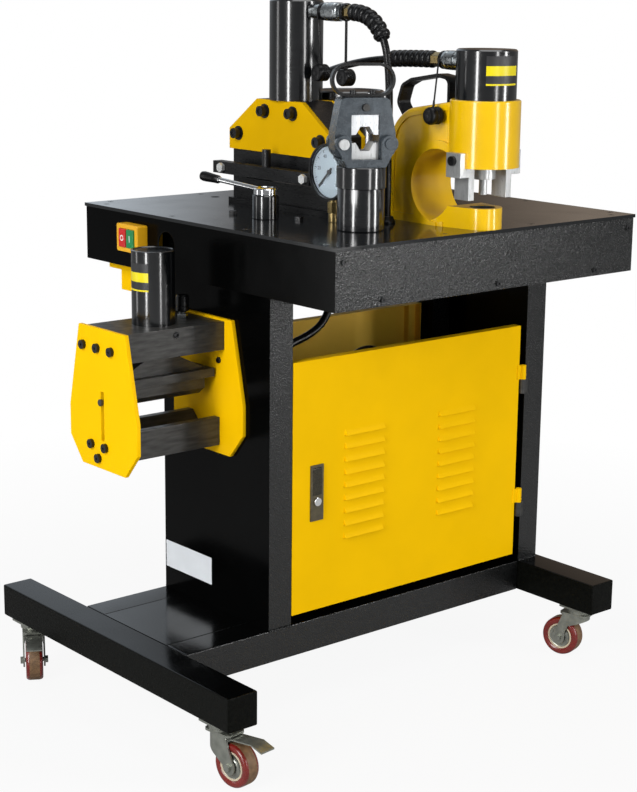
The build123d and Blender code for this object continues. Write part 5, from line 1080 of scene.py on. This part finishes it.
class BUSBAR_OT_gauge(Operator):
    """Dial, marks, numbers and lens of the pressure gauge"""

    bl_idname = "busbar.gauge"
    bl_label = "Pressure Gauge"

    def execute(self, context):
        y, z = GAUGE_AXIS
        shape = bmesh.new()
        disc = [(0, 0.1), (44.4, 0.1), (44.4, -0.4), (0, -0.4)]
        turn(shape, disc, (DIAL_FACE, y, z), (-1, 0, 0), steps=64)
        make_piece("gauge_dial", shape, [dial_face()], "stand")
        marks = bmesh.new()
        for step in range(DIAL_MARKS):
            turned = Matrix.Rotation(self.mark_angle(step), 4, (-1, 0, 0))
            place = Matrix.Translation(metres((DIAL_FACE, y, z))) @ turned
            inner, width = (38.5, 0.35) if step % 5 else (35.5, 0.7)
            slab(marks, (-0.3, -41.0, -width), (0.0, -inner, width), place=place)
        self.number_dial(marks, y, z)
        make_piece("gauge_marks", marks, [black_mark()], "stand")
        lens = bmesh.new()
        dome = [(0, 3.2), (18, 2.9), (34, 2.0), (44.6, 0.6), (44.6, -0.6), (34, 0.8), (18, 1.7), (0, 2.0)]
        turn(lens, dome, (GAUGE_FRONT + 3.4, y, z), (-1, 0, 0), steps=64)
        make_piece("gauge_lens", lens, [glass()], "stand")
        return {"FINISHED"}

    def mark_angle(self, step):
        return math.radians(DIAL_START - step * DIAL_STEP)

    def number_dial(self, marks, y, z):
        """Plain numbers round the dial."""
        for step in range(0, DIAL_MARKS, 10):
            angle = self.mark_angle(step)
            words = bpy.data.curves.new("dial_number", "FONT")
            words.body = str(step * 2)
            words.size = 0.009
            words.align_x = "CENTER"
            words.align_y = "CENTER"
            words.extrude = 0.0001
            text = bpy.data.objects.new("dial_number", words)
            bpy.context.scene.collection.objects.link(text)
            bpy.context.view_layer.update()
            mesh = bpy.data.meshes.new_from_object(text)
            aside, rise = DIAL_NUMBERS * math.cos(angle), DIAL_NUMBERS * math.sin(angle)
            spot = metres((DIAL_FACE - 0.25, y - aside, z + rise))
            face = Matrix((Vector((0, -1, 0)), Vector((0, 0, 1)), Vector((-1, 0, 0)))).transposed().to_4x4()
            mesh.transform(Matrix.Translation(spot) @ face)
            marks.from_mesh(mesh)
            bpy.data.meshes.remove(mesh)
            bpy.data.curves.remove(words)


class BUSBAR_OT_valve(Operator):
    """Valve cap, lever and grip"""

    bl_idname = "busbar.valve"
    bl_label = "Valve Lever"

    def execute(self, context):
        shape = bmesh.new()
        cap = [
            (0, -10), (6, -10), (6, 0), (20.4, 0), (21, 0.8), (21, 9.4), (19.2, 11.6), (14, 12.5), (13, 11.6),
            (0, 11.6),
        ]
        turn(shape, cap, VALVE, (0, 0, 1))
        make_piece("valve_cap", shape, [chrome()], "valve_lever", ["valve_lever"])
        angle = math.radians(LEVER_HEADING)
        root = Vector((VALVE[0], VALVE[1], VALVE[2] + 6.25))
        run = Vector((math.cos(angle) * LEVER_REACH, math.sin(angle) * LEVER_REACH, LEVER_RISE))
        axis = run.normalized()
        reach = run.length
        end = reach - GRIP_LENGTH
        stick = bmesh.new()
        rod = [(0, 14), (4.5, 14), (4.5, end - 3), (5.6, end - 2), (5.6, end), (0, end)]
        turn(stick, rod, root, axis)
        make_piece("valve_stick", stick, [chrome()], "valve_lever", ["valve_lever"])
        grip = bmesh.new()
        profile = [
            (0, -GRIP_LENGTH), (6, -GRIP_LENGTH), (7.4, -42), (7.8, -30), (8.8, -16), (9, -8), (8, -2.6),
            (5, -0.6), (0, 0),
        ]
        turn(grip, [(radius, reach + along) for radius, along in profile], root, axis)
        make_piece("valve_grip", grip, [rubber()], "valve_lever", ["valve_lever"])
        return {"FINISHED"}


class BUSBAR_OT_marks(Operator):
    """Marks on the switch keys, blank plate, plain bands and two small screws"""

    bl_idname = "busbar.marks"
    bl_label = "Marks and Plates"

    def execute(self, context):
        ring = bmesh.new()
        rim = [(3.6, -0.4), (5.2, -0.4), (5.2, 0.15), (3.6, 0.15), (3.6, -0.4)]
        turn(ring, rim, self.key_face(*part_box("stop_button")), (-1, 0, 0))
        make_piece("stop_mark", ring, [white_mark()], "stop_button")
        x, y, z = self.key_face(*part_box("start_button"))
        bar = bmesh.new()
        slab(bar, (x - 0.15, y - 0.9, z - 6), (x + 0.4, y + 0.9, z + 6))
        make_piece("start_mark", bar, [white_mark()], "start_button", edge=0.0001)
        plate = bmesh.new()
        slab(plate, (-227.3, 11, 206), (-226.4, 152, 257))
        make_piece("blank_plate", plate, [plate_silver()], "stand", edge=0.0003)
        self.wrap_band("bender_band", BENDER_AXIS, 37.5, (762, 810), (150, 222))
        self.wrap_band("punch_band", PUNCH_AXIS, 51.5, (1112, 1160), (224, 296))
        heads = bmesh.new()
        head = [(0, 1), (2.6, 1), (2.6, 3.2), (4.8, 3.2), (5.5, 2.4), (5.5, -0.5), (0, -0.5)]
        for start, axis in (((-337, -39, 690), (0, -1, 0)), ((-234.5, -23, 631), (-1, 0, 0))):
            turn(heads, head, start, axis, steps=24)
        make_piece("small_screws", heads, [screw_steel()], "stand")
        return {"FINISHED"}

    def key_face(self, low, high):
        """Middle of the face that a switch key shows, in millimetres."""
        middle = (low + high) / 2 / MM
        return low.x / MM, middle.y, middle.z

    def wrap_band(self, name, axis, radius, heights, angles):
        """A plain two-tone band round part of a cylinder, without any words."""
        shape = bmesh.new()
        low, high = heights
        step = (high - low) / 3
        centre = metres((*axis, 0))
        first = Matrix.Rotation(math.radians(angles[0]), 4, "Z")
        sweep = math.radians(angles[1] - angles[0])
        stops = [low, low + 3, low + step, low + 2 * step, high]
        for index, (bottom, top) in enumerate(zip(stops, stops[1:])):
            tone = index % 2
            ends = [centre + first @ Vector(((radius + BAND_PROUD) * MM, 0, z * MM)) for z in (bottom, top)]
            verts = [shape.verts.new(end) for end in ends]
            line = shape.edges.new(verts)
            before = set(shape.faces)
            bmesh.ops.spin(shape, geom=verts + [line], cent=centre, axis=(0, 0, 1), angle=sweep, steps=24)
            for face in set(shape.faces) - before:
                face.material_index = tone
        make_piece(name, shape, [band_yellow(), black_mark()], "stand")


class BUSBAR_OT_cylinders(Operator):
    """Round cylinders, header tank and valve body"""

    bl_idname = "busbar.cylinders"
    bl_label = "Cylinders"

    def execute(self, context):
        self.round_body("cutter_cylinder", CUTTER_AXIS, [(48.5, 1067), (48.5, 1242), (45.5, 1245)])
        self.round_body("punch_cylinder", PUNCH_AXIS, [(51.5, 1087), (51.5, 1167.5), (49, 1170)])
        self.round_body("bender_cylinder", BENDER_AXIS, [
            (37.5, 702), (37.5, 828.2), (38.3, 828.6), (38.3, 829.4), (37.4, 830), (34, 830), (33, 829),
        ])
        self.round_body("crimper_cylinder", CRIMPER_AXIS, [
            (38.6, TABLE_TOP), (40, 871.4), (40, 940.6), (39.4, 941.5), (42, 942), (42, 976), (41, 977),
        ])
        self.round_body("header_tank", TANK_AXIS, [
            (60.6, TABLE_TOP), (62, 871.4), (62, 1056), (64.5, 1057), (65.5, 1058.4), (65.5, 1079.6),
            (63, 1082), (58, 1082), (57, 1081),
        ])
        self.round_body("valve_body", VALVE[:2], [(21.8, TABLE_TOP), (23, 871.2), (23, 910.4), (21.6, 912)])
        return {"FINISHED"}

    def round_body(self, name, axis, profile):
        shape = bmesh.new()
        closed = [(0, profile[0][1])] + profile + [(0, profile[-1][1])]
        turn(shape, closed, (*axis, 0), (0, 0, 1), steps=128)
        make_piece(f"{name}_round", shape, [cylinder_black()], "stand", [name])


class BUSBAR_OT_foot_frame(Operator):
    """Feet and rails with rounded edges, and welds where the posts stand on the rails"""

    bl_idname = "busbar.foot_frame"
    bl_label = "Foot Frame"

    def execute(self, context):
        shape = bmesh.new()
        for x in (-FOOT_X, FOOT_X):
            slab(shape, (x - TUBE_HALF, -FOOT_HALF, TUBE_LOW), (x + TUBE_HALF, FOOT_HALF, TUBE_HIGH))
        for y in (-RAIL_Y, RAIL_Y):
            slab(shape, (-RAIL_HALF, y - TUBE_HALF, TUBE_LOW), (RAIL_HALF, y + TUBE_HALF, TUBE_HIGH), 1)
        finishes = [foot_black(), frame_black()]
        make_piece("foot_frame", shape, finishes, "stand", ["base_frame"], edge=0.0028)
        self.weld_beads()
        return {"FINISHED"}

    def weld_beads(self):
        """Rippled beads where the posts stand on the rails."""
        shape = bmesh.new()
        for x, y in POST_FRONTS:
            for step in range(BEADS):
                ripple = 0.4 * math.sin(2.1 * step)
                place = Matrix.Translation(metres((x - 22.5 + step * BEAD_STEP, y, TUBE_HIGH + ripple)))
                bmesh.ops.create_icosphere(shape, subdivisions=1, radius=BEAD_R * MM, matrix=place)
        make_piece("weld_beads", shape, [hammered_black()], "stand")


# Finish, rounding of edges in millimetres at the plain setting, and the CAD pieces that get them
NODE_FINISHES = [
    (yellow_enamel, 0.8, ["front_door"]),
    (rear_door_yellow, 0.8, ["rear_door"]),
    (yellow_enamel, 1.2, ["bender_plates", "table_bracket"]),
    (cutter_yellow, 1.2, ["cutter_plates"]),
    (yellow_casting, 2.0, ["punch_frame"]),
    (frame_black, 1.5, ["table_skirt"]),
    (frame_black, 0.0, ["column"]),
    (table_black, 1.0, ["table_top"]),
    (satin_black, 0.3, ["cutter_body"]),
    (satin_black, 1.2, ["cutter_head", "cutter_rail"]),
    (dark_steel, 1.2, ["bender_block", "bender_die", "bender_ram"]),
    (satin_black, 0.5, ["crimper_handle", "gauge_case"]),
    (dark_steel, 0.5, ["die_button", "pump_unit", "hinge_pins"]),
    (bright_steel, 0.6, ["cutter_blade", "punch_ram", "crimper_ram", "stripper_legs", "latch_pin"]),
    (crimper_steel, 1.2, ["crimper_base", "crimper_yoke"]),
    (lock_bronze, 0.5, ["lock_plate"]),
    (lock_black, 1.0, ["lock_lever"]),
    (chrome, 0.6, ["lock_button"]),
    (black_mark, 0.2, ["gauge_needle"]),
    (zinc, 0.4, ["caster_plates", "brake_pedal", "rear_brake_pedal"]),
    (zinc, 0.0, ["fork_front_left", "fork_front_right", "fork_rear_left", "fork_rear_right"]),
    (rubber, 1.0, ["punch_handle"]),
    (screw_steel, 0.5, ["screws"]),
    (yellow_plastic, 0.8, ["switch_box"]),
    (red_key, 0.8, ["stop_button"]),
    (green_key, 0.8, ["start_button"]),
]


def smooth_group():
    """Node group that shades faces smoothly up to an angle between them."""
    if "smooth_to_angle" in bpy.data.node_groups:
        return bpy.data.node_groups["smooth_to_angle"]
    group = bpy.data.node_groups.new("smooth_to_angle", "GeometryNodeTree")
    group.interface.new_socket("Geometry", in_out="INPUT", socket_type="NodeSocketGeometry")
    group.interface.new_socket("Geometry", in_out="OUTPUT", socket_type="NodeSocketGeometry")
    nodes, links = group.nodes, group.links
    enter = nodes.new("NodeGroupInput")
    leave = nodes.new("NodeGroupOutput")
    faces = nodes.new("GeometryNodeSetShadeSmooth")
    faces.domain = "FACE"
    edges = nodes.new("GeometryNodeSetShadeSmooth")
    edges.domain = "EDGE"
    angle = nodes.new("GeometryNodeInputMeshEdgeAngle")
    below = nodes.new("FunctionNodeCompare")
    below.data_type = "FLOAT"
    below.operation = "LESS_THAN"
    below.inputs["B"].default_value = SMOOTH_EDGE
    links.new(enter.outputs["Geometry"], faces.inputs["Geometry"])
    links.new(faces.outputs["Geometry"], edges.inputs["Geometry"])
    links.new(angle.outputs["Unsigned Angle"], below.inputs["A"])
    links.new(below.outputs["Result"], edges.inputs["Shade Smooth"])
    links.new(edges.outputs["Geometry"], leave.inputs["Geometry"])
    return group


class BUSBAR_OT_finishes(Operator):
    """Finishes and rounded edges of the CAD model's own pieces"""

    bl_idname = "busbar.finishes"
    bl_label = "Finishes"

    def execute(self, context):
        sizes = context.scene.machine_sizes
        for make, rounding, names in NODE_FINISHES:
            for name in names:
                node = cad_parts[name]
                node.data.materials.clear()
                node.data.materials.append(make())
                if rounding:
                    self.soften(node, rounding * sizes.edge / PLAIN_EDGE)
        return {"FINISHED"}

    def soften(self, node, width):
        weld = node.modifiers.new("weld", "WELD")
        weld.merge_threshold = 0.00001
        flat = node.modifiers.new("flat_faces", "DECIMATE")
        flat.decimate_type = "DISSOLVE"
        flat.angle_limit = math.radians(0.5)
        bevel = node.modifiers.new("rounded_edges", "BEVEL")
        bevel.width = width
        bevel.segments = 2
        bevel.limit_method = "ANGLE"
        bevel.angle_limit = math.radians(45)
        bevel.use_clamp_overlap = True
        smooth = node.modifiers.new("smooth", "NODES")
        smooth.node_group = smooth_group()
        even_normals(node)


OPERATORS = [
    BUSBAR_OT_stage,
    BUSBAR_OT_hoses,
    BUSBAR_OT_couplers,
    BUSBAR_OT_caps,
    BUSBAR_OT_wheels,
    BUSBAR_OT_gauge,
    BUSBAR_OT_valve,
    BUSBAR_OT_marks,
    BUSBAR_OT_cylinders,
    BUSBAR_OT_foot_frame,
    BUSBAR_OT_finishes,
]


class BUSBAR_PT_sidebar(Panel):
    """Lists the machine's settings and pieces in the sidebar"""

    bl_idname = "BUSBAR_PT_sidebar"
    bl_label = "Busbar Machine"
    bl_space_type = "VIEW_3D"
    bl_region_type = "UI"
    bl_category = "Busbar Machine"

    def draw(self, context):
        layout = self.layout
        scene = context.scene
        for settings in (scene.machine_colours, scene.machine_sizes, scene.machine_stage):
            box = layout.box()
            for key in settings.__annotations__:
                box.prop(settings, key)
        column = layout.column()
        for operator in OPERATORS:
            column.operator(operator.bl_idname)


CLASSES = [MachineColours, MachineSizes, MachineStage, *OPERATORS, BUSBAR_PT_sidebar]


def register():
    for cls in CLASSES:
        bpy.utils.register_class(cls)
    bpy.types.Scene.machine_colours = PointerProperty(type=MachineColours)
    bpy.types.Scene.machine_sizes = PointerProperty(type=MachineSizes)
    bpy.types.Scene.machine_stage = PointerProperty(type=MachineStage)


def unregister():
    del bpy.types.Scene.machine_stage
    del bpy.types.Scene.machine_sizes
    del bpy.types.Scene.machine_colours
    for cls in reversed(CLASSES):
        bpy.utils.unregister_class(cls)


def main():
    register()
    bpy.ops.busbar.stage()
    bpy.ops.busbar.hoses()
    bpy.ops.busbar.couplers()
    bpy.ops.busbar.caps()
    bpy.ops.busbar.wheels()
    bpy.ops.busbar.gauge()
    bpy.ops.busbar.valve()
    bpy.ops.busbar.marks()
    bpy.ops.busbar.cylinders()
    bpy.ops.busbar.foot_frame()
    bpy.ops.busbar.finishes()


if __name__ == "__main__":
    main()
